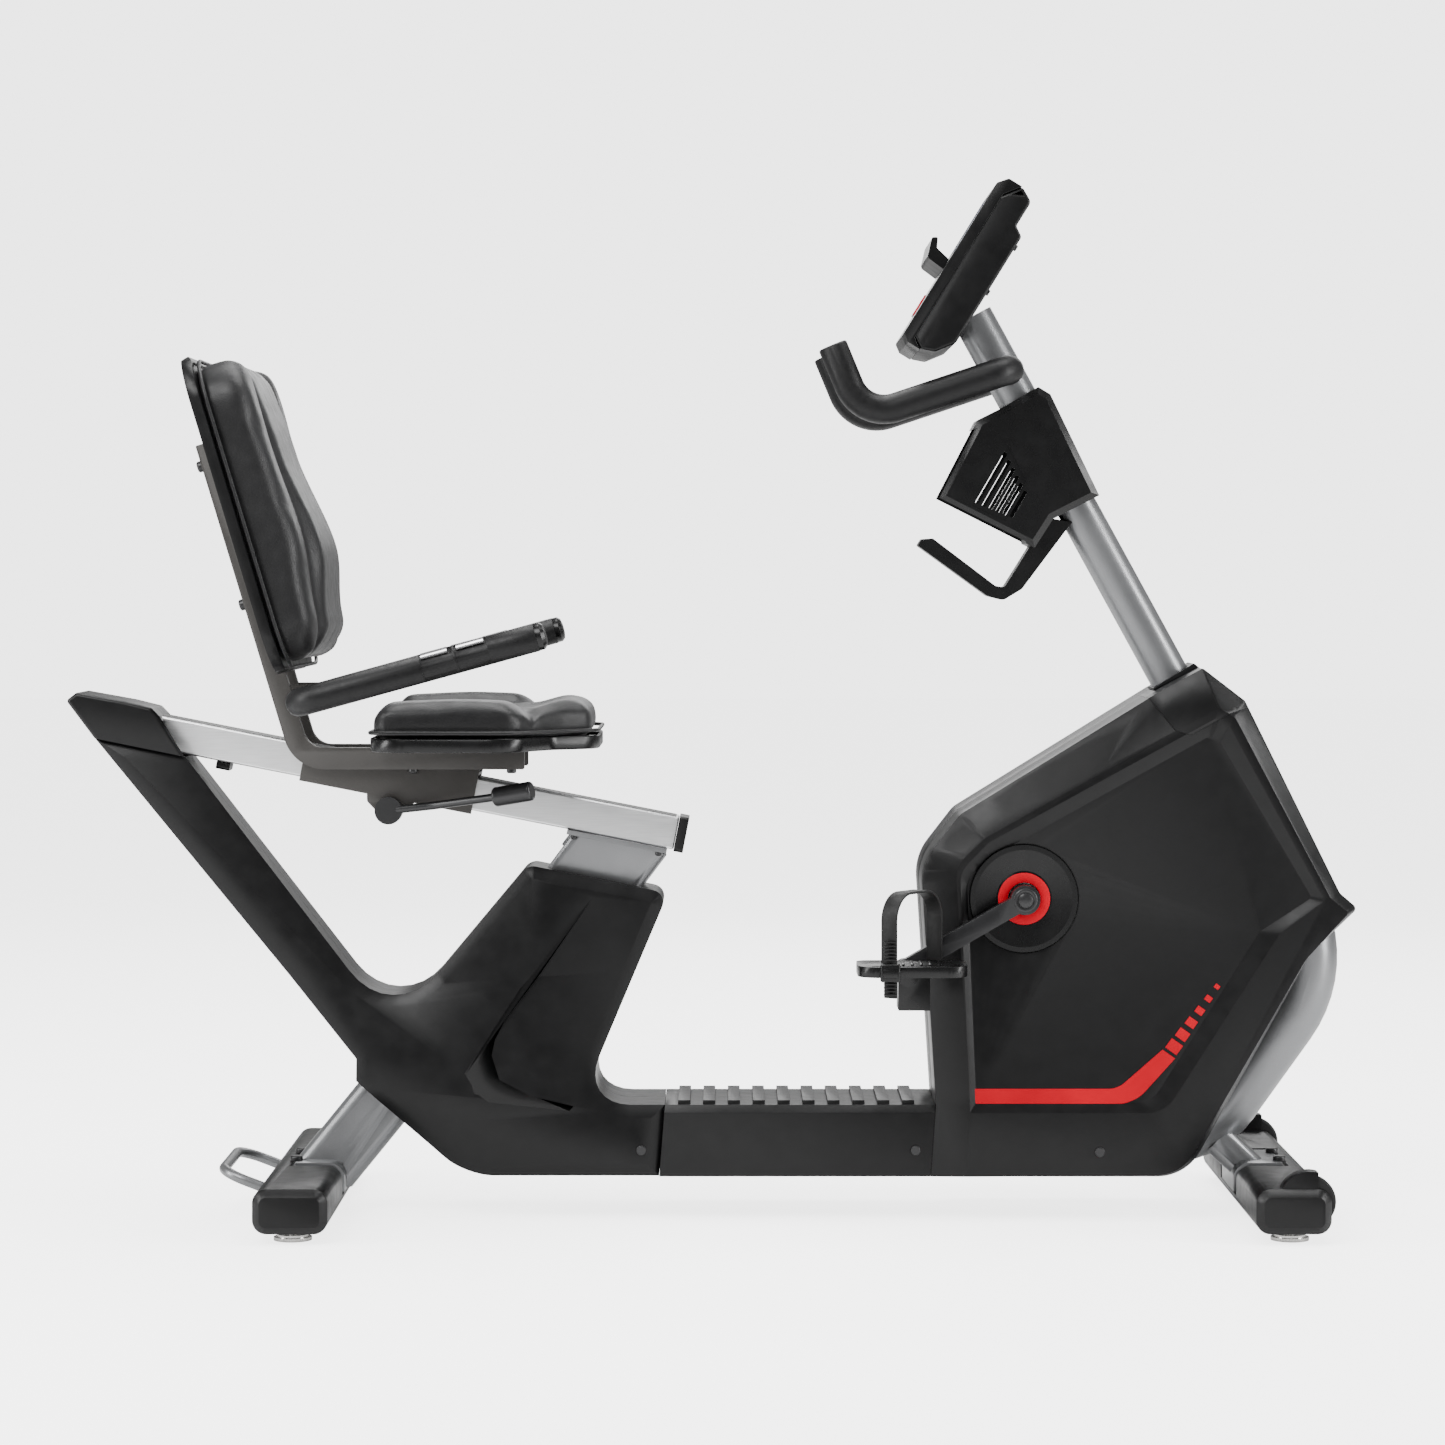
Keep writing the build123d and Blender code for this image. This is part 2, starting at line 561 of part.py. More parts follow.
def handlebar_path():
    """Path of the front handlebar, through the mast and back to the rider."""
    y = HANDLEBAR_Y
    return [(154, -y, 1069), (188, -y, 987), (HANDLEBAR_X, -y, 1047), (HANDLEBAR_X, y, 1047), (188, y, 987),
            (154, y, 1069)]


def handlebar():
    """Bent steel bar inside the foam."""
    return pipe(handlebar_path(), [46, 26, 26, 46], 12.7)


def handlebar_grip():
    """Foam sleeve on each side of the front handlebar."""
    y = HANDLEBAR_Y
    points = [(151, -y, 1076), (188, -y, 987), (HANDLEBAR_X, -y, 1047),
              (HANDLEBAR_X, -y + 42, 1047)]
    foam = pipe(points, [46, 26], 18) - handlebar()
    return group(foam, flip(foam))


# ---------------------------------------------------------------- console
def console_slab(corners, half, rounds=0):
    """Solid across the console from points given up its face and out of it."""
    return slab(outline([console_point(up, out) for up, out in corners], rounds), -half, half)


def console_back():
    """Rear housing of the console, clamped on the mast's head."""
    body = console_slab([(0, -GAP), (-8, -14), (-2, -30), (20, -46), (70, -46.5), (172, -46.5),
                         (180, -34), (214, -34), (224, -15.6), (204, -GAP)],
                        CONSOLE_HALF, [0, 4, 8, 10, 6, 6, 4, 8, 4, 0])
    rims = [edge for edge in body.edges() if abs(abs(edge.center().Y) - CONSOLE_HALF) < 0.1
            and edge.center().X > CONSOLE_FOOT[0] + 12 + (edge.center().Z - 1085) * 0.62]
    body = fillet(rims, 4)
    body -= console_slab([(14, 3), (14, -30), (28, -41), (168, -41), (168, 3)], CONSOLE_HALF - 8, 3)
    return body - mast_bar(1060, 1119, MAST_R + 0.02)


def console_front():
    """Front bezel with the display window and the key openings."""
    body = console_slab([(0, 0), (204, 0), (224, -15), (224, 4), (212, 14), (-2, 14), (-9, 4),
                         (-9, -13)], CONSOLE_HALF, [0, 0, 0, 4, 5, 5, 3, 0])
    body -= console_slab([(118, 10.8), (206, 10.8), (206, 20), (118, 20)], 92, 0)
    body -= console_slab([(124, -5), (200, -5), (200, 20), (124, 20)], 80, 0)
    body -= across_key(START_KEY, 0.4, -5, 20)
    return body - across_key(LEVEL_KEY, 0.4, -5, 20)


START_KEY = (46.0, 0.0, 15.0)   # up the face, y, radius
LEVEL_KEY = (46.0, 52.0, 13.0)


def across_key(key, clearance, out_low, out_high):
    """Round key on the console's face."""
    up, y, radius = key
    x_low, z_low = console_point(up, out_low)
    x_high, z_high = console_point(up, out_high)
    run = Vector(x_high - x_low, 0, z_high - z_low)
    plane = Plane(origin=(x_low, y, z_low), x_dir=(0, 1, 0), z_dir=run)
    return extrude(plane * Circle(radius + clearance), amount=run.length)


def key_cap(key):
    """Key with a wider base behind the bezel that keeps it in."""
    up, y, radius = key
    return across_key(key, 0, -2.6, 16) + across_key((up, y, radius + 2), 0, -5, -2.6)


def media_shelf():
    """Ledge across the face that holds a book or a tablet."""
    return console_slab([(92, 14 + GAP), (106, 14 + GAP), (110, 34), (122, 40), (118, 46), (94, 38)],
                        88, [0, 0, 3, 2, 2, 6])


def power_inlet():
    """Round socket for the power adaptor, low on the rider's left."""
    barrel = ring(*INLET, 6.5, INLET_BORE, 84, SHROUD_HALF + GAP)
    return barrel + ring(*INLET, 9, INLET_BORE, SHROUD_HALF + GAP, SHROUD_HALF + 2.5)


# ---------------------------------------------------------------- crank and drive
def crank_spindle():
    """Crank shaft with a flange that carries the big pulley."""
    shaft = drum(CRANK_X, CRANK_Z, 8.5, -118, 118)
    return shaft + drum(CRANK_X, CRANK_Z, 28, 14.6, 20 - GAP / 3)


def crank_pulley():
    """Large ribbed-belt pulley with cut-outs."""
    wheel = ring(CRANK_X, CRANK_Z, PULLEY_R, 8.6, BELT_Y - 8, BELT_Y + 8)
    wheel -= ring(CRANK_X, CRANK_Z, PULLEY_R - 9, 30, BELT_Y - 20, BELT_Y - 3)
    wheel -= ring(CRANK_X, CRANK_Z, PULLEY_R - 9, 30, BELT_Y + 3, BELT_Y + 20)
    for index in range(6):
        x, z = polar((CRANK_X, CRANK_Z), 66, 60 * index)
        wheel -= drum(x, z, 22, 0, 60)
    return wheel


def crank_arm_right():
    """Right crank arm with its bolt and the pedal's spindle."""
    hub = (CRANK_X, CRANK_Z)
    end = CRANK_END_RIGHT
    side = (math.sin(CRANK_DROP * RADIANS), -math.cos(CRANK_DROP * RADIANS))
    body = drum(*hub, 18, -122, -98.5) + drum(*end, 13, -137, -121)
    plan = [(0, -122), (0, -104), (30, -104), (CRANK_LENGTH, -121), (CRANK_LENGTH, -137),
            (40, -122)]
    across = Plane(origin=(hub[0], 0, hub[1]),
                   x_dir=(end[0] - hub[0], 0, end[1] - hub[1]), z_dir=(side[0], 0, side[1]))
    web = extrude(across * make_face(Polyline(*[(u, across_y(across, v)) for u, v in plan],
                                              close=True)), amount=11, both=True)
    body += web
    body -= drum(*hub, 8.5, -118 - GAP, -90)
    return body + drum(*end, 6, -226, -130)


def across_y(plane, y):
    """Local coordinate that stands for y on a plane through the crank's axis."""
    return y if plane.y_dir.Y > 0 else -y


def crank_arm_left():
    """Left crank arm, half a turn from the right one."""
    turned = crank_arm_right().rotate(Axis((CRANK_X, 0, CRANK_Z), (0, 1, 0)), 180)
    return flip(turned)


def crank_bearings():
    """Sealed bearing in each end of the bottom bracket shell."""
    return group(ring(CRANK_X, CRANK_Z, 17.5, 8.5 + FIT, -34, -22),
                 ring(CRANK_X, CRANK_Z, 17.5, 8.5 + FIT, 2, 14))


def pedal(side):
    """Weighted foot pedal with a wide tread plate, level while the cranks turn."""
    x, z = CRANK_END_RIGHT if side < 0 else CRANK_END_LEFT
    near, far = -229.0, -139.0
    plan = [(x - 60, near), (x + 72, near), (x + 72, far), (x - 60, far)]
    plate = plan_slab(outline(plan, [26, 26, 14, 14]), z - 1, z + 12)
    body = plate + drum(x, z, 12, near + 2, far)
    body += Pos(x + 8, -185, z - 22) * Box(38, 54, 40)
    for low in (near + 8, far - 13):
        body -= Pos(x, low + 2.5, z + 5) * Box(96, 5.4, 40) & plan_slab(
            outline([(x - 43, -240), (x + 53, -240), (x + 53, -130), (x - 43, -130)]), z + 2, z + 20)
    body -= drum(x, z, 6 + FIT, -226.5, -100)
    return body if side < 0 else flip(body)


def pedal_strap(side):
    """Rubber strap over the foot, hooked to both edges of the pedal."""
    x, z = CRANK_END_RIGHT if side < 0 else CRANK_END_LEFT
    start = Vector(x - 24, -233.5, z - 25)
    run = Vector(60, 83, 0)
    plane = Plane(origin=start, x_dir=run, z_dir=Vector(run.Y, -run.X, 0))
    length = run.length
    outer = outline([(0, 0), (length, 26), (length, 126), (0, 126)], [0, 0, 34, 34])
    inner = outline([(3, -10), (length - 3, -10), (length - 3, 123), (3, 123)], [0, 0, 31, 31])
    strap = extrude(plane * (outer - inner), amount=11, both=True)
    strap -= plan_slab(outline([(x - 61, -229.4), (x + 73, -229.4), (x + 73, -138.6),
                                (x - 61, -138.6)], [26, 26, 14, 14]), z - 60, z + 12.4)
    return strap if side < 0 else flip(strap)


def flywheel():
    """Flywheel, hub and small belt pulley in one turning piece."""
    wheel = ring(*FLYWHEEL, FLYWHEEL_R, 6 + FIT, -30, 8)
    wheel -= ring(*FLYWHEEL, FLYWHEEL_R - 22, 24, -40, -16)
    wheel -= ring(*FLYWHEEL, FLYWHEEL_R - 22, 24, -6, 20)
    wheel += ring(*FLYWHEEL, SMALL_PULLEY_R, 6 + FIT, 8, BELT_Y + 8)
    return wheel


def drive_belt():
    """Ribbed belt round the two pulleys, open by a hair so that it runs free in the model."""
    inner = belt_loop(GAP)
    return slab(belt_loop(GAP + BELT_THICK) - inner, BELT_Y - BELT_WIDTH / 2,
                BELT_Y + BELT_WIDTH / 2)


def belt_loop(grow):
    """Outline of a taut loop round both pulleys, grown outwards."""
    (x1, z1), (x2, z2), (nx, nz) = lower_belt_run()
    dx, dz = FLYWHEEL_X - CRANK_X, FLYWHEEL_Z - CRANK_Z
    centres = math.hypot(dx, dz)
    ux, uz = dx / centres, dz / centres
    along = nx * ux + nz * uz
    mx, mz = 2 * along * ux - nx, 2 * along * uz - nz
    big, small = PULLEY_R + grow, SMALL_PULLEY_R + grow
    strip = make_face(Polyline((CRANK_X + big * nx, CRANK_Z + big * nz),
                               (FLYWHEEL_X + small * nx, FLYWHEEL_Z + small * nz),
                               (FLYWHEEL_X + small * mx, FLYWHEEL_Z + small * mz),
                               (CRANK_X + big * mx, CRANK_Z + big * mz), close=True))
    return strip + Pos(CRANK_X, CRANK_Z) * Circle(big) + Pos(FLYWHEEL_X, FLYWHEEL_Z) * Circle(small)


def idler_arm():
    """Tensioner arm on its pivot, with a stub shaft for the idler pulley."""
    arm = beam(IDLER_PIVOT, IDLER, 16, 4, 1, 0, 10.3)
    arm += drum(*IDLER_PIVOT, 5, -8, 12) + drum(*IDLER_PIVOT, 10, 8.3, 12.3)
    return arm + drum(*IDLER, 9, 8.3, 12.3) + drum(*IDLER, 5, 10, BELT_Y + 9)


def idler_pulley():
    """Idler that presses on the belt's back."""
    return ring(*IDLER, IDLER_R, 5 + FIT, BELT_Y - 10, BELT_Y + 8)


def magnet_bracket():
    """Curved magnet carrier that swings away from the flywheel's rim."""
    def sector(radius):
        corners = [FLYWHEEL, polar(FLYWHEEL, radius * 1.3, 92), polar(FLYWHEEL, radius * 1.3, 125),
                   polar(FLYWHEEL, radius * 1.3, 158)]
        return slab(outline(corners), -12, 10)
    arc = ring(*FLYWHEEL, FLYWHEEL_R + 16, FLYWHEEL_R + 3, -12, 10) & sector(FLYWHEEL_R + 16)
    return arc + drum(*MAGNET_PIVOT, 8, -14, 10) + drum(*MAGNET_PIVOT, 4, -24, -12)


def flywheel_axle():
    """Fixed axle between the two side plates."""
    return drum(*FLYWHEEL, 5.98, -52, 52)


# ---------------------------------------------------------------- seat
FRAME_LEAN = math.atan2(347, 104)          # the back bars above the horizontal, radians
BACK_FOOT = (-505.0, 616.0)                # on the front face of the back bars


def back_point(up, out=0.0):
    """Point up the back bars and out in front of their front face."""
    return (BACK_FOOT[0] - up * math.cos(FRAME_LEAN) + out * math.sin(FRAME_LEAN),
            BACK_FOOT[1] + up * math.sin(FRAME_LEAN) + out * math.cos(FRAME_LEAN))


def seat_frame():
    """Two bent bars with cross plates, and lugs that carry the seat handlebar."""
    bar = [back_point(362, -25), (-513.1, 556), (-228, 556), (-228, 583), (-495.1, 583),
           back_point(362, 0)]
    frame = Part()
    for side in (-1, 1):
        face = outline(bar, [2, 52, 2, 2, 26, 2])
        frame += slab(face, side * BAR_Y - 7, side * BAR_Y + 7)
        lug = [back_point(12, -4), back_point(48, -4), (-487, 661), (-487, 629)]
        frame += slab(outline(lug), side * BAR_Y - 4, side * BAR_Y + 4)
    for up in (130, 330):
        plate = [back_point(up, -6), back_point(up + 40, -6), back_point(up + 40, -1),
                 back_point(up, -1)]
        frame += slab(outline(plate), -44, 44)
    for x in (-392, -262):
        frame += Pos(x, 0, 580.5) * Box(34, 92, 5)
    hole = pipe([(-487, -80, 645), (-487, 80, 645)], [], 12.7)
    return frame - hole


def seat_carriage():
    """Channel that straddles the rail, with the bracket of the lock below it."""
    carriage = rail_box(-497, -284, UNDER_RAIL - 4, 90, 42.6, 1)
    carriage -= rail_box(-600, -100, UNDER_RAIL - 10, -UNDER_RAIL + 3, 37.6, 1)
    carriage -= rail_box(-600, -100, -UNDER_RAIL + 7, 150, 37.6, 1)
    carriage -= Pos(-390, 0, 677.5) * Box(400, 200, 200)
    bracket = [(-424, 548), (-424, 516), (-396, 486), (-366, 514), (-366, 540)]
    for side in (-1, 1):
        low_y = min(side * 42.6, side * 37.6)
        carriage += slab(outline(bracket, [0, 6, 12, 6, 0]), low_y, low_y + 5)
    return carriage - drum(-396, 505, 7 + FIT, -60, 60)


def carriage_glides():
    """Nylon glides that run in the rail's side grooves."""
    glides = []
    for side in (-1, 1):
        for x in (-470, -330):
            pad = rail_box(x, x + 34, -14, 14, 3.35, 0.4)
            tongue = rail_box(x, x + 34, -4.6, 4.6, 3.6, 0.4)
            glides.append(Pos(0, side * 33.95, 0) * pad + Pos(0, side * 30.2, 0) * tongue)
    return group(*glides)


def seat_plan(grow=0.0):
    """Plan of the seat: wide at the hips with a narrower rounded nose."""
    plan = outline([(-409, -SEAT_HALF), (-236, -SEAT_HALF), (-190, -128), (-134, -88), (-134, 88),
                    (-190, 128), (-236, SEAT_HALF), (-409, SEAT_HALF)],
                   [46, 50, 40, 46, 46, 40, 50, 46])
    return offset(plan, amount=grow) if grow else plan


def seat_pan():
    """Moulded pan under the seat cushion."""
    pan = plan_slab(seat_plan(), 583 + GAP / 3, 600)
    return pan - plan_slab(seat_plan(-4), 588, 610)


def seat_cushion():
    """Seat cushion, plain closed solid."""
    body = plan_slab(seat_plan(-1.5), 600 + GAP, 641)
    return fillet([edge for edge in body.edges() if abs(edge.center().Z - 641) < 0.1], 9)


def back_slab(corners, half, rounds=0):
    """Solid across the back from points up the bars and in front of them."""
    return slab(outline([back_point(up, out) for up, out in corners], rounds), -half, half)


def back_shell():
    """Thin moulded shell behind the back cushion."""
    body = back_slab([(62, GAP / 3), (66, 13), (455, 13), (462, 9), (458, GAP / 3)], BACK_HALF,
                     [2, 2, 2, 2, 2])
    uprights = [edge for edge in body.edges() if abs(abs(edge.center().Y) - BACK_HALF) < 0.1]
    corner = back_slab([(40, -5), (480, -5), (480, 20), (40, 20)], BACK_HALF, 0)
    keep = back_corner_prism(0)
    return body & keep & corner if uprights else body


def back_corner_prism(shrink):
    """Rounded rectangle across the back, extruded forwards from the bars."""
    middle = back_point(262)
    plane = Plane(origin=(middle[0], 0, middle[1]), x_dir=(0, 1, 0),
                  z_dir=(math.sin(FRAME_LEAN), 0, math.cos(FRAME_LEAN)))
    face = plane * RectangleRounded(2 * BACK_HALF - 2 * shrink, 402 - 2 * shrink, 60)
    return extrude(face, amount=120) + extrude(face, amount=-10)


def back_cushion():
    """Back cushion with its lumbar bulge, plain closed solid."""
    profile = [(68, 13 + GAP), (72, 52), (130, 78), (220, 80), (330, 66), (440, 58), (458, 40),
               (458, 13 + GAP)]
    body = back_slab(profile, BACK_HALF, [2, 16, 60, 80, 80, 20, 12, 2]) & back_corner_prism(3)
    return body


def seat_handlebar_path():
    """Path of the bar round the seat, from one hand grip to the other."""
    y = HANDLE_Y
    return [(-209, -y, 721.5), (-487, -y, 645), (-487, y, 645), (-209, y, 721.5)]


def seat_handlebar():
    """Bent steel bar behind the seat with a straight arm on each side."""
    return pipe(seat_handlebar_path(), [34, 34], 12.7)


def seat_grips():
    """Foam grip on each arm, with its rounded rear end."""
    y = HANDLE_Y
    points = [(-203, -y, 723.2), (-487, -y, 645), (-487, -y + 46, 645)]
    foam = pipe(points, [34], GRIP_R) - seat_handlebar()
    for place in PULSE_PLACES:
        foam -= pulse_plate(place)
    return group(foam, flip(foam))


PULSE_PLACES = (-338.0, -297.0)            # rear end of each contact plate


def pulse_plate(x):
    """Curved steel contact plate let into the outside of a grip."""
    slope = (721.5 - 645) / (487 - 209)
    start = Vector(x, -HANDLE_Y, 645 + (x + 487) * slope)
    run = Vector(38, 0, 38 * slope)
    plane = Plane(origin=start, x_dir=(0, 1, 0), z_dir=run)
    shell = Circle(GRIP_R + 0.6) - Circle(GRIP_R - 2)
    keep = Pos(-GRIP_R * 0.62, 0) * Rectangle(GRIP_R * 0.95, GRIP_R * 2.4)
    return extrude(plane * (shell & keep), amount=run.length)


def pulse_sensors():
    """Hand pulse contacts on both grips."""
    plates = [pulse_plate(place) for place in PULSE_PLACES]
    return group(*plates, *[flip(plate) for plate in plates])


def lock_lever():
    """Seat lock lever: cross shaft, arm and grip under the seat's right side."""
    shaft = drum(-396, 505, 7, -60, 46)
    hub = drum(-396, 505, 17, -62, -43.2)
    rod = pipe([(-396, -54, 505), (-340, -72, 512), (-262, -118, 525)], [60], 5)
    grip = pipe([(-262, -118, 525), (-214, -134, 534)], [], 12)
    grip = fillet([edge for edge in grip.edges()], 4)
    return shaft + hub + rod + grip


# ---------------------------------------------------------------- fasteners
def cap_screw(x, y, z, direction, radius=6.0, head=5.0, shank=0.0):
    """Screw head with a rounded top, standing out along direction."""
    plane = Plane(origin=(x, y, z), z_dir=direction)
    body = extrude(plane * Circle(radius), amount=head)
    body = fillet(body.edges().sort_by(Axis(plane.origin, plane.z_dir))[-1], head * 0.45)
    if shank:
        body += extrude(plane * Circle(radius * 0.5), amount=-shank)
    return body


def fasteners():
    """Bolts of the stabilisers, rail, console and covers."""
    screws = []
    for y in (-34, 34):
        screws.append(cap_screw(REAR_STAB_X - 16, y, STAB_Z + 28, (0, 0, 1), 8, 6))
        screws.append(cap_screw(FRONT_STAB_X + 14, y, STAB_Z + 28, (0, 0, 1), 8, 6))
    for x in (-167, -62):
        for y in (-32.7, 32.7):
            px, pz = rail_point(x, UNDER_RAIL - 6)
            down = (-math.sin(RAIL_SLOPE * RADIANS), 0, -math.cos(RAIL_SLOPE * RADIANS))
            screws.append(cap_screw(px, y, pz, down, 4.2, 5))
    for up in (96, 160):
        for y in (-90, 90):
            px, pz = console_point(up, -46.5)
            back = (math.sin(CONSOLE_ANGLE * RADIANS), 0, -math.cos(CONSOLE_ANGLE * RADIANS))
            screws.append(cap_screw(px, y, pz, back, 4, 3))
    for side in (-1, 1):
        for x, y in ((-83, BASE_HALF), (256, BASE_HALF), (482, SHROUD_HALF)):
            screws.append(cap_screw(x, side * y, 86.5, (0, side, 0), 6, 2.4))
    return group(*screws)


def seat_bolts():
    """Bolts that hold the back shell, the seat pan and the lock on the seat frame."""
    bolts = []
    rear = (-math.sin(FRAME_LEAN), 0, -math.cos(FRAME_LEAN))
    for up in (336, 158):
        for y in (-BAR_Y, BAR_Y):
            px, pz = back_point(up, -25)
            bolts.append(cap_screw(px, y, pz, rear, 7, 6))
    for x in (-366, -244):
        for y in (-BAR_Y, BAR_Y):
            bolts.append(cap_screw(x, y, 556, (0, 0, -1), 6, 5))
    return group(*bolts)


# ---------------------------------------------------------------- writing
def main():
    """Build every node and write one STEP file for each."""
    shroud = shroud_right()
    rear_half = rear_cover_right()
    nodes = {
        "base_frame": base_frame(),
        "rear_stabilizer": rear_stabilizer(),
        "front_stabilizer": stabilizer(FRONT_STAB_X, FRONT_STAB_HALF),
        "rear_stabilizer_cover": rear_stabilizer_cover(),
        "front_stabilizer_cover": front_stabilizer_cover(),
        "transport_wheel_right": transport_wheel(-1),
        "transport_wheel_left": transport_wheel(1),
        "foot_rear_right": foot(REAR_STAB_X, -1),
        "foot_rear_left": foot(REAR_STAB_X, 1),
        "foot_front_right": foot(FRONT_STAB_X, -1),
        "foot_front_left": foot(FRONT_STAB_X, 1),
        "seat_rail": seat_rail(),
        "rail_stops": rail_stops(),
        "rear_cap": rear_cap(),
        "rear_cover_right": rear_half,
        "rear_cover_left": flip(rear_half),
        "deck_cover": deck_cover(),
        "shroud_right": shroud,
        "shroud_left": flip(shroud) - drum(*INLET, 6.8, 80, 110),
        "mast_collar": mast_collar(),
        "crank_covers": crank_covers(),
        "fasteners": fasteners(),
        "mast": mast(),
        "bottle_holder": bottle_holder(),
        "handlebar": handlebar(),
        "handlebar_grip": handlebar_grip(),
        "console_back": console_back(),
        "console_front": console_front(),
        "console_screen": console_slab([(118.4, 10.9), (205.6, 10.9), (205.6, 13), (118.4, 13)],
                                       91.6, 0),
        "media_shelf": media_shelf(),
        "power_inlet": power_inlet(),
        "start_key": key_cap(START_KEY),
        "level_key": key_cap(LEVEL_KEY),
        "crank_spindle": crank_spindle(),
        "crank_pulley": crank_pulley(),
        "crank_arm_right": crank_arm_right(),
        "crank_arm_left": crank_arm_left(),
        "crank_bearings": crank_bearings(),
        "pedal_right": pedal(-1),
        "pedal_left": pedal(1),
        "pedal_strap_right": pedal_strap(-1),
        "pedal_strap_left": pedal_strap(1),
        "flywheel": flywheel(),
        "flywheel_axle": flywheel_axle(),
        "drive_belt": drive_belt(),
        "idler_pulley": idler_pulley(),
        "idler_arm": idler_arm(),
        "magnet_bracket": magnet_bracket(),
        "seat_carriage": seat_carriage(),
        "carriage_glides": carriage_glides(),
        "seat_frame": seat_frame(),
        "seat_pan": seat_pan(),
        "seat_cushion": seat_cushion(),
        "back_shell": back_shell(),
        "back_cushion": back_cushion(),
        "seat_handlebar": seat_handlebar(),
        "seat_grips": seat_grips(),
        "pulse_sensors": pulse_sensors(),
        "seat_bolts": seat_bolts(),
        "lock_lever": lock_lever(),
    }
    os.makedirs("parts", exist_ok=True)
    for name, shape in nodes.items():
        export_step(shape, f"parts/{name}.step")
    print(len(nodes), "nodes")


main()
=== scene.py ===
"""Looks of a recumbent exercise bike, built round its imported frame.

Each sub-assembly is a class. Sizes are in millimetres in the row's frame, with +X to the display
end, +Y to the rider's left and +Z up, and become metres when a piece is finished.
"""
import json
import logging
import math
from dataclasses import dataclass, field
from enum import Enum
from typing import Callable, Iterable, Sequence

import bmesh
import bpy
from mathutils import Matrix, Vector


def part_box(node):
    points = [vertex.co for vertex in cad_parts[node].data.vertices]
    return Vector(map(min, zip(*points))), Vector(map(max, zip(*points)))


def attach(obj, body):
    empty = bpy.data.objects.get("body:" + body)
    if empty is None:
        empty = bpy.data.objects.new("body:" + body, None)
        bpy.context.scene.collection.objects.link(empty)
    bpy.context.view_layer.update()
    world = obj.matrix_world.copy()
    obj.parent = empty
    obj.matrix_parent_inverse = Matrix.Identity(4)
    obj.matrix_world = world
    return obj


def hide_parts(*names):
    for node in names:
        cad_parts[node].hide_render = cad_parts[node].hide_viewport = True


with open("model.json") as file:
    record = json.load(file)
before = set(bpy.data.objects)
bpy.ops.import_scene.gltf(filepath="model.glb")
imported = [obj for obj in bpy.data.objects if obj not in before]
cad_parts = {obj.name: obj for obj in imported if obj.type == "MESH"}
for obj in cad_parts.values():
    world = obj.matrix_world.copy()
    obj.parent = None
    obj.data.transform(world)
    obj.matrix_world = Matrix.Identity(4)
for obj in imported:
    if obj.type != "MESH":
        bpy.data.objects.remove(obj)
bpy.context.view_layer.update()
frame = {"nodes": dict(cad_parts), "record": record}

LOG = logging.getLogger("bike")
MM = 0.001

Point2 = tuple[float, float]
Colour = tuple[float, float, float]


class Side(Enum):
    """The rider's right or left, as the sign of Y."""

    RIGHT = -1
    LEFT = 1


class Body(str, Enum):
    """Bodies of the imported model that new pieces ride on."""

    FRAME = "frame"
    CRANK = "crank"
    SEAT = "seat"
    RIGHT_PEDAL = "right_pedal"
    LEFT_PEDAL = "left_pedal"


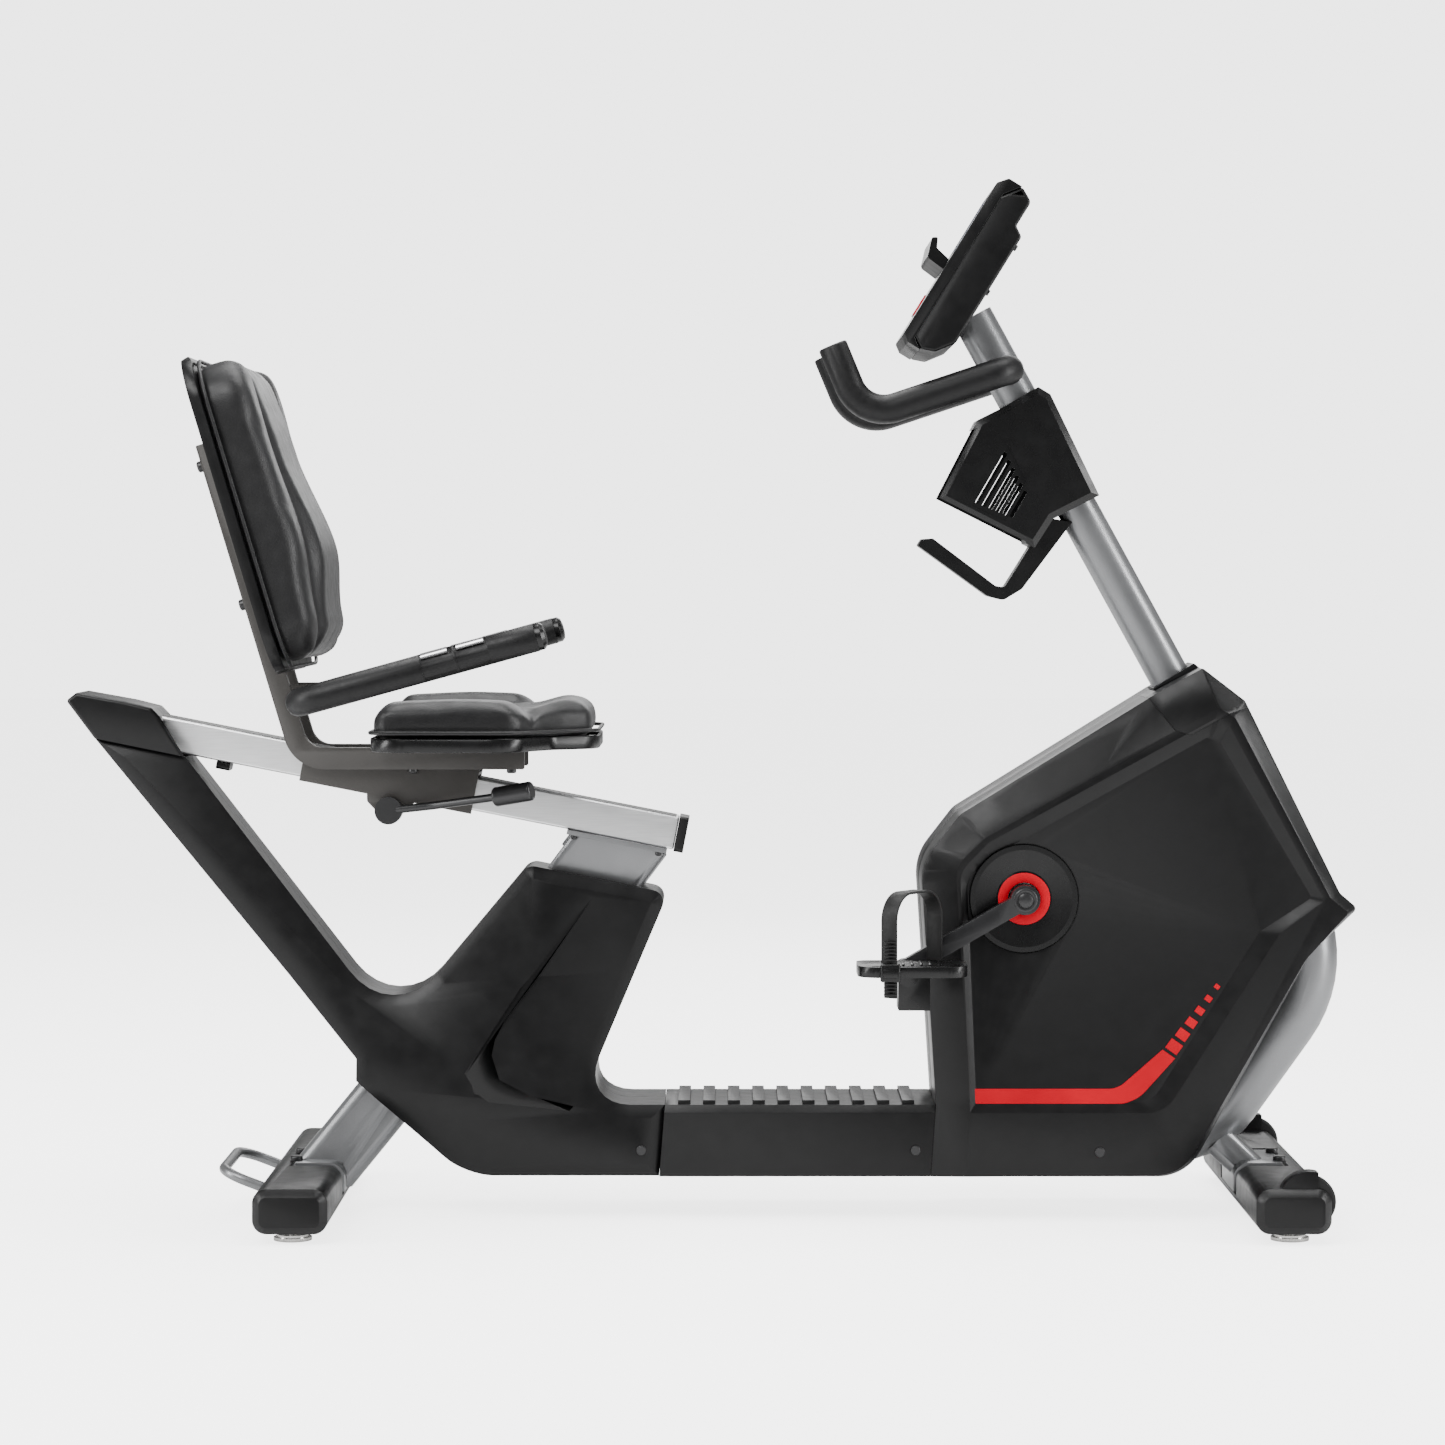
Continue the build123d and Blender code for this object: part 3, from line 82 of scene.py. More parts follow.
# ------------------------------------------------------------------------------ finishes
class NodeBench:
    """Builds the nodes of one material round its Principled shader."""

    def __init__(self, name: str) -> None:
        """Start a material.

        Args:
            name: Name of the material.
        """
        self.material = bpy.data.materials.new(name)
        self.material.use_nodes = True
        self.tree = self.material.node_tree
        self.shader = self.tree.nodes["Principled BSDF"]
        self.coords = self.tree.nodes.new("ShaderNodeTexCoord").outputs["Object"]

    def constant(self, socket: str, value: float | Sequence[float]) -> None:
        """Set a socket of the shader itself."""
        self.shader.inputs[socket].default_value = value

    def placed(self, scale: Sequence[float]) -> bpy.types.NodeSocket:
        """Object coordinates stretched by a scale for each axis.

        Args:
            scale: Stretch along X, Y and Z.

        Returns:
            Socket with the stretched place.
        """
        mapping = self.tree.nodes.new("ShaderNodeMapping")
        mapping.inputs["Scale"].default_value = scale
        self.tree.links.new(self.coords, mapping.inputs["Vector"])
        return mapping.outputs["Vector"]

    def noise(self, scale: float, detail: float = 3.0,
              stretch: Sequence[float] = (1, 1, 1)) -> bpy.types.NodeSocket:
        """Noise in metres of the object.

        Args:
            scale: Features per metre.
            detail: Octaves.
            stretch: Scale of each axis, to draw the pattern out.

        Returns:
            The noise factor's socket.
        """
        node = self.tree.nodes.new("ShaderNodeTexNoise")
        node.inputs["Scale"].default_value = scale
        node.inputs["Detail"].default_value = detail
        self.tree.links.new(self.placed(stretch), node.inputs["Vector"])
        return node.outputs["Fac"]

    def cells(self, scale: float, feature: str = "F1") -> bpy.types.NodeSocket:
        """Cell pattern's distance socket, for grain and foam.

        Args:
            scale: Cells per metre, roughly.
            feature: Voronoi feature to read.

        Returns:
            Socket from 0 in a cell's middle towards 1.
        """
        node = self.tree.nodes.new("ShaderNodeTexVoronoi")
        node.feature = feature
        node.inputs["Scale"].default_value = scale
        self.tree.links.new(self.coords, node.inputs["Vector"])
        return node.outputs["Distance"]

    def ranged(self, value: bpy.types.NodeSocket, source: Point2,
               target: Point2) -> bpy.types.NodeSocket:
        """Map a value from one range to another.

        Args:
            value: Socket to map.
            source: Its lowest and highest value.
            target: What these become.

        Returns:
            Socket with the mapped value.
        """
        node = self.tree.nodes.new("ShaderNodeMapRange")
        node.inputs["From Min"].default_value, node.inputs["From Max"].default_value = source
        node.inputs["To Min"].default_value, node.inputs["To Max"].default_value = target
        self.tree.links.new(value, node.inputs["Value"])
        return node.outputs["Result"]

    def tint(self, value: bpy.types.NodeSocket, dark: Colour, light: Colour) -> None:
        """Colour the surface between two shades by a value from 0.3 to 0.7.

        Args:
            value: Socket that picks the shade.
            dark: Shade at 0.3 and below.
            light: Shade at 0.7 and above.
        """
        ramp = self.tree.nodes.new("ShaderNodeValToRGB")
        ramp.color_ramp.elements[0].position = 0.3
        ramp.color_ramp.elements[1].position = 0.7
        ramp.color_ramp.elements[0].color = (*dark, 1)
        ramp.color_ramp.elements[1].color = (*light, 1)
        self.tree.links.new(value, ramp.inputs["Fac"])
        self.tree.links.new(ramp.outputs["Color"], self.shader.inputs["Base Color"])

    def roughness(self, value: bpy.types.NodeSocket, low: float, high: float) -> None:
        """Let the roughness wander between two values."""
        out = self.ranged(value, (0.3, 0.7), (low, high))
        self.tree.links.new(out, self.shader.inputs["Roughness"])

    def bump(self, *layers: tuple[bpy.types.NodeSocket, float]) -> None:
        """Stack bumps, each a height socket with its depth in millimetres.

        Args:
            *layers: Height socket and depth in millimetres, lowest layer first.
        """
        previous = None
        for height, depth in layers:
            node = self.tree.nodes.new("ShaderNodeBump")
            node.inputs["Distance"].default_value = depth * MM
            node.inputs["Strength"].default_value = 1.0
            self.tree.links.new(height, node.inputs["Height"])
            if previous:
                self.tree.links.new(previous, node.inputs["Normal"])
            previous = node.outputs["Normal"]
        self.tree.links.new(previous, self.shader.inputs["Normal"])


def shade(colour: Colour, factor: float) -> Colour:
    """The same colour, lighter or darker by a factor."""
    return tuple(min(channel * factor, 1.0) for channel in colour)


@dataclass(frozen=True)
class MouldedPlastic:
    """Injection moulded plastic with a spark-eroded grain."""

    name: str
    colour: Colour
    rough: float
    grain: float = 0.05
    gloss: float = 0.28

    def build(self) -> bpy.types.Material:
        """Make the material.

        Returns:
            Moulded plastic with a fine grain.
        """
        bench = NodeBench(self.name)
        cloud = bench.noise(14, 4)
        fine = bench.noise(1500, 2)
        bench.tint(cloud, shade(self.colour, 0.86), shade(self.colour, 1.14))
        bench.roughness(bench.noise(45, 5), self.rough - 0.05, self.rough + 0.05)
        bench.constant("Specular IOR Level", self.gloss)
        bench.bump((fine, self.grain), (bench.noise(9, 2), 0.12))
        return bench.material


@dataclass(frozen=True)
class Paint:
    """Powder coat over steel, with a little flake and orange peel."""

    name: str
    colour: Colour
    metallic: float
    rough: float

    def build(self) -> bpy.types.Material:
        """Make the material.

        Returns:
            Powder coat with a light flake.
        """
        bench = NodeBench(self.name)
        flake = bench.noise(2600, 2)
        bench.tint(flake, shade(self.colour, 0.88), shade(self.colour, 1.12))
        bench.roughness(bench.noise(30, 4), self.rough - 0.05, self.rough + 0.06)
        bench.constant("Metallic", self.metallic)
        bench.constant("Coat Weight", 0.15)
        bench.constant("Coat Roughness", 0.25)
        bench.bump((bench.noise(420, 2), 0.03), (flake, 0.01))
        return bench.material


@dataclass(frozen=True)
class Vinyl:
    """Grained upholstery vinyl."""

    name: str
    colour: Colour
    rough: float

    def build(self) -> bpy.types.Material:
        """Make the material.

        Returns:
            Upholstery vinyl with a leather grain.
        """
        bench = NodeBench(self.name)
        grain = bench.cells(620)
        bench.tint(bench.noise(22, 5), shade(self.colour, 0.85), shade(self.colour, 1.15))
        bench.roughness(bench.noise(60, 4), self.rough - 0.06, self.rough + 0.06)
        bench.constant("Specular IOR Level", 0.34)
        bench.constant("Sheen Weight", 0.05)
        bench.constant("Sheen Roughness", 0.4)
        bench.bump((grain, 0.12), (bench.noise(900, 3), 0.05), (bench.noise(26, 2), 0.25))
        return bench.material


@dataclass(frozen=True)
class Foam:
    """Closed-cell grip foam with a skinned surface."""

    name: str
    colour: Colour
    rough: float

    def build(self) -> bpy.types.Material:
        """Make the material.

        Returns:
            Closed-cell grip foam.
        """
        bench = NodeBench(self.name)
        bench.tint(bench.noise(30, 4), shade(self.colour, 0.85), shade(self.colour, 1.2))
        bench.roughness(bench.noise(150, 3), self.rough - 0.07, self.rough + 0.07)
        bench.constant("Specular IOR Level", 0.28)
        bench.bump((bench.noise(1300, 3), 0.07), (bench.cells(420), 0.05))
        return bench.material


@dataclass(frozen=True)
class Metal:
    """Bare, anodised or plated metal with a drawn grain."""

    name: str
    colour: Colour
    rough: float
    drawn: Sequence[float] = (0.03, 1.0, 1.0)
    grain: float = 0.012

    def build(self) -> bpy.types.Material:
        """Make the material.

        Returns:
            Bare or plated metal with drawn lines.
        """
        bench = NodeBench(self.name)
        lines = bench.noise(900, 3, self.drawn)
        bench.tint(lines, shade(self.colour, 0.93), shade(self.colour, 1.05))
        bench.roughness(lines, self.rough - 0.04, self.rough + 0.05)
        bench.constant("Metallic", 1.0)
        bench.bump((lines, self.grain))
        return bench.material


@dataclass(frozen=True)
class Glass:
    """Lit display behind a glossy window."""

    name: str
    colour: Colour
    glow: float

    def build(self) -> bpy.types.Material:
        """Make the material.

        Returns:
            Screen glass with a faint glow.
        """
        bench = NodeBench(self.name)
        bench.tint(bench.noise(60, 2), shade(self.colour, 0.92), shade(self.colour, 1.08))
        bench.roughness(bench.noise(40, 2), 0.08, 0.14)
        bench.constant("Coat Weight", 0.6)
        bench.constant("Coat Roughness", 0.05)
        bench.constant("Emission Color", (*self.colour, 1))
        bench.constant("Emission Strength", self.glow)
        bench.bump((bench.noise(300, 1), 0.005))
        return bench.material


FINISHES: dict[str, object] = {
    "cover_black": MouldedPlastic("satin_black_cover", (0.0027, 0.0027, 0.0029), 0.36),
    "trim_black": MouldedPlastic("smooth_black_trim", (0.0024, 0.0024, 0.0026), 0.28, 0.02, 0.36),
    "frame_paint": Paint("silver_grey_paint", (0.20, 0.203, 0.208), 0.72, 0.33),
    "seat_paint": Paint("dark_grey_paint", (0.050, 0.047, 0.044), 0.4, 0.40),
    "trim_arm": Paint("black_arm_paint", (0.009, 0.009, 0.010), 0.2, 0.34),
    "bolt_black": Paint("black_oxide", (0.030, 0.030, 0.031), 0.6, 0.35),
    "rail_silver": Metal("anodised_rail", (0.86, 0.865, 0.87), 0.38),
    "steel": Metal("turned_steel", (0.62, 0.61, 0.59), 0.26, (1.0, 1.0, 0.05)),
    "contact_chrome": Metal("polished_contact", (0.86, 0.86, 0.87), 0.12, (1, 1, 1), 0.004),
    "iron": Metal("cast_flywheel", (0.25, 0.25, 0.26), 0.45, (1, 1, 1), 0.05),
    "foam": Foam("grip_foam", (0.0038, 0.0038, 0.0041), 0.46),
    "rubber": Foam("black_rubber", (0.0065, 0.0065, 0.0065), 0.52),
    "vinyl": Vinyl("seat_vinyl", (0.0085, 0.0085, 0.0090), 0.43),
    "screen": Glass("display_blue", (0.05, 0.11, 0.42), 0.5),
    "key_red": MouldedPlastic("red_plastic", (0.60, 0.018, 0.035), 0.32, 0.01),
    "key_white": MouldedPlastic("pale_key", (0.62, 0.63, 0.64), 0.35, 0.01),
    "nylon": MouldedPlastic("natural_nylon", (0.62, 0.61, 0.57), 0.45),
    "belt": Foam("ribbed_belt", (0.015, 0.015, 0.015), 0.6),
    "stripe_red": MouldedPlastic("red_stripe", (0.50, 0.0022, 0.0135), 0.42, 0.01, 0.06),
}
BUILT: dict[str, bpy.types.Material] = {}


def finish(slot: str) -> bpy.types.Material:
    """The material of one finish, made on first use.

    Args:
        slot: Name of the finish in FINISHES.

    Returns:
        Its material.
    """
    if slot not in BUILT:
        BUILT[slot] = FINISHES[slot].build()
    return BUILT[slot]


# ------------------------------------------------------------------------------ mesh tools
def edges_where(mesh: bmesh.types.BMesh,
                test: Callable[[Vector, Vector], bool]) -> list[bmesh.types.BMEdge]:
    """Edges whose two ends pass a test."""
    return [edge for edge in mesh.edges if test(edge.verts[0].co, edge.verts[1].co)]


def bevel(mesh: bmesh.types.BMesh, edges: Iterable[bmesh.types.BMEdge], width: float,
          segments: int = 3) -> None:
    """Round edges of a workpiece.

    Args:
        mesh: The workpiece.
        edges: Edges to round.
        width: Width in millimetres.
        segments: Faces across the round.
    """
    bmesh.ops.bevel(mesh, geom=list(edges), offset=width, offset_type="OFFSET",
                    segments=segments, profile=0.5, affect="EDGES", material=-1,
                    clamp_overlap=True)


def prism(points: Sequence[Point2], low: float, high: float,
          radii: Sequence[float] | float = 0.0) -> bmesh.types.BMesh:
    """Side outline made solid between two values of Y.

    Args:
        points: Corners as X and Z.
        low: Lower Y.
        high: Higher Y.
        radii: One corner radius, or one for each corner.

    Returns:
        The workpiece.
    """
    mesh = bmesh.new()
    ring = [mesh.verts.new((x, low, z)) for x, z in points]
    face = mesh.faces.new(ring)
    grown = bmesh.ops.extrude_face_region(mesh, geom=[face])["geom"]
    raised = [item for item in grown if isinstance(item, bmesh.types.BMVert)]
    bmesh.ops.translate(mesh, verts=raised, vec=(0, high - low, 0))
    corners = [radii] * len(points) if isinstance(radii, (int, float)) else radii
    uprights = []
    for vert, radius in zip(ring, corners):
        for edge in vert.link_edges:
            if abs(edge.verts[0].co.y - edge.verts[1].co.y) > 1e-4 and radius > 0:
                uprights.append((edge, radius))
    for edge, radius in uprights:
        bevel(mesh, [edge], radius * corner_reach(edge), 8)
    bmesh.ops.recalc_face_normals(mesh, faces=mesh.faces)
    return mesh


def corner_reach(edge: bmesh.types.BMEdge) -> float:
    """Bevel width for a unit radius at an edge between two flat sides.

    Args:
        edge: Edge between two flat sides.

    Returns:
        Bevel width for a 1 mm radius.
    """
    first, second = edge.link_faces[0], edge.link_faces[1]
    turn = first.normal.angle(second.normal, 0.0)
    if first.normal.length < 0.5 or second.normal.length < 0.5:
        first.normal_update()
        second.normal_update()
        turn = first.normal.angle(second.normal, 0.0)
    return math.tan(min(turn, 2.6) / 2)


def lathe(profile: Sequence[Point2], centre: Vector, axis: Vector,
          sides: int = 64) -> bmesh.types.BMesh:
    """Turned piece.

    Args:
        profile: Radius and distance along the axis.
        centre: A point on the axis.
        axis: Direction of the axis.
        sides: Faces round the piece.

    Returns:
        The workpiece.
    """
    mesh = bmesh.new()
    across = axis.orthogonal().normalized()
    verts = [mesh.verts.new(centre + across * radius + axis * along) for radius, along in profile]
    edges = [mesh.edges.new(pair) for pair in zip(verts, verts[1:])]
    bmesh.ops.spin(mesh, geom=verts + edges, cent=centre, axis=axis, angle=2 * math.pi,
                   steps=sides, use_merge=True)
    bmesh.ops.remove_doubles(mesh, verts=mesh.verts, dist=1e-4)
    bmesh.ops.recalc_face_normals(mesh, faces=mesh.faces)
    return mesh


def flip(mesh: bmesh.types.BMesh) -> bmesh.types.BMesh:
    """A mirrored copy for the other side of the bike.

    Args:
        mesh: Workpiece, left as it is.

    Returns:
        Its mirror image across the middle plane.
    """
    twin = mesh.copy()
    bmesh.ops.scale(twin, vec=(1, -1, 1), verts=twin.verts)
    bmesh.ops.reverse_faces(twin, faces=twin.faces)
    return twin


def join(*meshes: bmesh.types.BMesh) -> bmesh.types.BMesh:
    """Several workpieces in one mesh.

    Args:
        *meshes: Workpieces, which are used up.

    Returns:
        One workpiece that holds them all.
    """
    whole = bmesh.new()
    for mesh in meshes:
        scrap = bpy.data.meshes.new("scrap")
        mesh.to_mesh(scrap)
        whole.from_mesh(scrap)
        bpy.data.meshes.remove(scrap)
        mesh.free()
    return whole


def piece(name: str, mesh: bmesh.types.BMesh, body: Body, slot: str,
          replaces: Sequence[str] = (), soften: float = 0.0,
          smooth: float = 32.0) -> bpy.types.Object:
    """Finish a workpiece as an object of the scene.

    Args:
        name: Name of the piece.
        mesh: Workpiece in millimetres.
        body: Body it rides on.
        slot: Material slot of the record, which also names the finish.
        replaces: CAD nodes it stands for.
        soften: Width of a live bevel on its sharp edges, in millimetres.
        smooth: Edges sharper than this many degrees stay crisp.

    Returns:
        The new object.
    """
    bmesh.ops.scale(mesh, vec=(MM, MM, MM), verts=mesh.verts)
    data = bpy.data.meshes.new(name)
    mesh.to_mesh(data)
    mesh.free()
    return dress(name, data, body, slot, replaces, soften, smooth)


def dress(name: str, data: bpy.types.Mesh, body: Body, slot: str,
          replaces: Sequence[str] = (), soften: float = 0.0,
          smooth: float = 32.0) -> bpy.types.Object:
    """Give a mesh its object, finish, shading and body.

    Args:
        name: Name of the piece.
        data: Its mesh, in metres.
        body: Body that it moves with.
        slot: Name of its finish.
        replaces: CAD nodes that it stands in for.
        soften: Width of its soft edges, in millimetres.
        smooth: Angle in degrees past which an edge is crisp.

    Returns:
        The piece's object.
    """
    obj = bpy.data.objects.new(name, data)
    bpy.context.scene.collection.objects.link(obj)
    data.materials.clear()
    data.materials.append(finish(slot))
    data.shade_smooth()
    if soften:
        live = obj.modifiers.new("soft_edges", "BEVEL")
        live.width = soften * MM
        live.segments = 2
        live.limit_method = "ANGLE"
        live.angle_limit = math.radians(smooth)
        live.use_clamp_overlap = True
        live.harden_normals = True
    else:
        data.set_sharp_from_angle(angle=math.radians(smooth))
    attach(obj, body.value)
    if replaces:
        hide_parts(*replaces)
    LOG.info("%s: %d faces", name, len(data.polygons))
    return obj


def from_cad(node: str) -> bmesh.types.BMesh:
    """Merged copy of a CAD node in millimetres, with its flat faces whole.

    Args:
        node: Name of the CAD node.

    Returns:
        Workpiece in millimetres.
    """
    mesh = bmesh.new()
    mesh.from_mesh(frame["nodes"][node].data)
    bmesh.ops.remove_doubles(mesh, verts=mesh.verts, dist=2e-6)
    bmesh.ops.dissolve_limit(mesh, angle_limit=math.radians(0.6), verts=mesh.verts,
                             edges=mesh.edges, use_dissolve_boundaries=False)
    bmesh.ops.scale(mesh, vec=(1000, 1000, 1000), verts=mesh.verts)
    return mesh


def paint(node: str, slot: str) -> None:
    """Give a kept CAD node its finish.

    Args:
        node: Name of the CAD node.
        slot: Name of its finish.
    """
    data = frame["nodes"][node].data
    if not data.materials:
        data.materials.append(None)
    for index in range(len(data.materials)):
        data.materials[index] = finish(slot)


def baked(obj: bpy.types.Object) -> bpy.types.Mesh:
    """New mesh of an object with its modifiers applied."""
    graph = bpy.context.evaluated_depsgraph_get()
    return bpy.data.meshes.new_from_object(obj.evaluated_get(graph))


def linked(data: bpy.types.ID) -> bpy.types.Object:
    """Scratch object in the scene.

    Args:
        data: Mesh or curve to show.

    Returns:
        Its object, linked to the scene.
    """
    obj = bpy.data.objects.new("scratch", data)
    bpy.context.scene.collection.objects.link(obj)
    return obj


def taken_up(obj: bpy.types.Object) -> bmesh.types.BMesh:
    """Workpiece in millimetres from a scratch object, which is removed.

    Args:
        obj: Scratch object, with its modifiers.

    Returns:
        Workpiece in millimetres.
    """
    mesh = bmesh.new()
    mesh.from_mesh(baked(obj))
    bmesh.ops.scale(mesh, vec=(1000, 1000, 1000), verts=mesh.verts)
    bpy.data.objects.remove(obj)
    return mesh


def swell(mesh: bmesh.types.BMesh, voxel: float, cap: float) -> bmesh.types.BMesh:
    """Blow a closed blank up as cloth, so that it crowns between its edges.

    Args:
        mesh: Blank in millimetres.
        voxel: Size of its even faces, in millimetres.
        cap: Furthest that a point may move, in millimetres.

    Returns:
        The swollen workpiece.
    """
    bmesh.ops.scale(mesh, vec=(MM, MM, MM), verts=mesh.verts)
    data = bpy.data.meshes.new("blank")
    mesh.to_mesh(data)
    mesh.free()
    blank = linked(data)
    even = blank.modifiers.new("even", "REMESH")
    even.mode = "VOXEL"
    even.voxel_size = voxel * MM
    rested = baked(blank)
    blank.modifiers.clear()
    blank.data = rested
    start = [vert.co.copy() for vert in rested.vertices]
    inflate(blank)
    puffed = baked(blank)
    for vert, origin in zip(puffed.vertices, start):
        move = vert.co - origin
        if move.length > cap * MM:
            vert.co = origin + move.normalized() * cap * MM
    blank.modifiers.clear()
    blank.data = puffed
    bpy.context.scene.frame_set(1)
    return taken_up(blank)


def inflate(blank: bpy.types.Object, frames: int = 20) -> None:
    """Run the cloth with air inside and no gravity.

    Args:
        blank: Remeshed pad, a little smaller than the real one.
        frames: How long the air presses.
    """
    cloth = blank.modifiers.new("air", "CLOTH")
    cloth.settings.quality = 5
    cloth.settings.mass = 0.3
    cloth.settings.use_pressure = True
    cloth.settings.uniform_pressure_force = 4.0
    cloth.settings.effector_weights.gravity = 0.0
    cloth.point_cache.frame_start = 1
    cloth.point_cache.frame_end = frames
    for frame_number in range(1, frames + 1):
        bpy.context.scene.frame_set(frame_number)


def tube(points: Sequence[Vector], radius: float, cyclic: bool = False,
         smooth: bool = False) -> bmesh.types.BMesh:
    """Round bar, wire or welt along points.

    Args:
        points: Route in millimetres.
        radius: Radius in millimetres.
        cyclic: Whether the ends join.
        smooth: Whether the route is a smooth spline rather than straight runs.

    Returns:
        The workpiece.
    """
    curve = bpy.data.curves.new("route", "CURVE")
    curve.dimensions = "3D"
    curve.bevel_depth = radius * MM
    curve.bevel_resolution = 3
    curve.use_fill_caps = not cyclic
    spline = curve.splines.new("NURBS" if smooth else "POLY")
    spline.points.add(len(points) - 1)
    for knot, point in zip(spline.points, points):
        knot.co = (*(Vector(point) * MM), 1)
    spline.use_cyclic_u = cyclic
    if smooth:
        spline.order_u = 3
        spline.use_endpoint_u = not cyclic
        spline.resolution_u = 8
    mesh = taken_up(linked(curve))
    bmesh.ops.remove_doubles(mesh, verts=mesh.verts, dist=1e-3)
    bmesh.ops.recalc_face_normals(mesh, faces=mesh.faces)
    return mesh


def along(knots: Sequence[Point2], value: float) -> float:
    """Smoothly interpolated height between knots.

    Args:
        knots: Place and height of each knot, in order.
        value: Place to read.

    Returns:
        Height there.
    """
    if value <= knots[0][0]:
        return knots[0][1]
    for (first, low), (second, high) in zip(knots, knots[1:]):
        if value <= second:
            part = (value - first) / (second - first)
            return low + (high - low) * part * part * (3 - 2 * part)
    return knots[-1][1]


def far_from(route: Sequence[Point2], point: Vector) -> float:
    """Distance from a point to a route of straight runs, in the plane.

    Args:
        route: Points of the route, in order.
        point: Point to measure from.

    Returns:
        Shortest distance.
    """
    best = 1e9
    for start, end in zip(route, route[1:]):
        first, run = Vector(start), Vector(end) - Vector(start)
        part = max(0.0, min(1.0, (point - first).dot(run) / run.length_squared))
        best = min(best, (point - first - run * part).length)
    return best


def block(low: Sequence[float], high: Sequence[float], width: float = 1.0,
          segments: int = 2) -> bmesh.types.BMesh:
    """Box between two corners with all its edges rounded.

    Args:
        low: Lowest corner.
        high: Highest corner.
        width: Width of the rounding.
        segments: Faces across the rounding.

    Returns:
        The box as a workpiece.
    """
    mesh = bmesh.new()
    size = Vector(high) - Vector(low)
    middle = (Vector(high) + Vector(low)) / 2
    place = Matrix.Translation(middle) @ Matrix.Diagonal((*size, 1))
    bmesh.ops.create_cube(mesh, size=1, matrix=place)
    bevel(mesh, mesh.edges, width, segments)
    return mesh


def carve(mesh: bmesh.types.BMesh, cutter: bmesh.types.BMesh) -> bmesh.types.BMesh:
    """Cut one workpiece out of another.

    Args:
        mesh: Workpiece to cut, which is used up.
        cutter: What is taken away, which is used up.

    Returns:
        What is left.
    """
    objects = []
    for item in (mesh, cutter):
        bmesh.ops.scale(item, vec=(MM, MM, MM), verts=item.verts)
        data = bpy.data.meshes.new("carved")
        item.to_mesh(data)
        item.free()
        objects.append(linked(data))
    cut = objects[0].modifiers.new("cut", "BOOLEAN")
    cut.operation = "DIFFERENCE"
    cut.solver = "EXACT"
    cut.object = objects[1]
    bpy.context.view_layer.update()
    result = taken_up(objects[0])
    bpy.data.objects.remove(objects[1])
    return result


def box_mm(node: str) -> tuple[Vector, Vector]:
    """Lowest and highest corners of a CAD node, in millimetres."""
    low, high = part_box(node)
    return Vector(low) * 1000, Vector(high) * 1000


# ------------------------------------------------------------------------------ sub-assemblies
@dataclass
class Chassis:
    """Frame, stabilisers, rail and small hardware that keep their CAD shape with eased edges."""

    eased: dict[str, tuple[Body, str, float]] = field(default_factory=lambda: {
        "base_frame": (Body.FRAME, "frame_paint", 1.0),
        "rear_stabilizer_cover": (Body.FRAME, "cover_black", 1.2),
        "front_stabilizer_cover": (Body.FRAME, "cover_black", 1.2),
        "rear_cap": (Body.FRAME, "cover_black", 1.6),
        "deck_cover": (Body.FRAME, "cover_black", 1.2),
        "shroud_right": (Body.FRAME, "cover_black", 2.2),
        "shroud_left": (Body.FRAME, "cover_black", 2.2),
        "mast_collar": (Body.FRAME, "cover_black", 1.6),
        "rail_stops": (Body.FRAME, "cover_black", 0.8),
        "seat_frame": (Body.SEAT, "seat_paint", 0.8),
        "seat_carriage": (Body.SEAT, "seat_paint", 0.6),
        "crank_arm_right": (Body.CRANK, "trim_arm", 1.6),
        "crank_arm_left": (Body.CRANK, "trim_arm", 1.6),
        "console_back": (Body.FRAME, "cover_black", 1.6),
        "console_front": (Body.FRAME, "trim_black", 1.2),
    })

    faceted: tuple[str, ...] = ("shroud_right", "shroud_left", "mast_collar", "rear_cap",
                                "console_back")
    facet_angle: float = 18.0
    edge_angle: float = 32.0

    def build(self) -> None:
        """Ease the edges of each listed node and dress the others as they are."""
        for node, (body, slot, width) in self.eased.items():
            crisp = self.facet_angle if node in self.faceted else self.edge_angle
            piece(f"{node}_eased", from_cad(node), body, slot, (node,), width, crisp)
        for entry in frame["record"]["subparts"]:
            if entry["node"] not in self.eased:
                paint(entry["node"], entry["material_slot"])


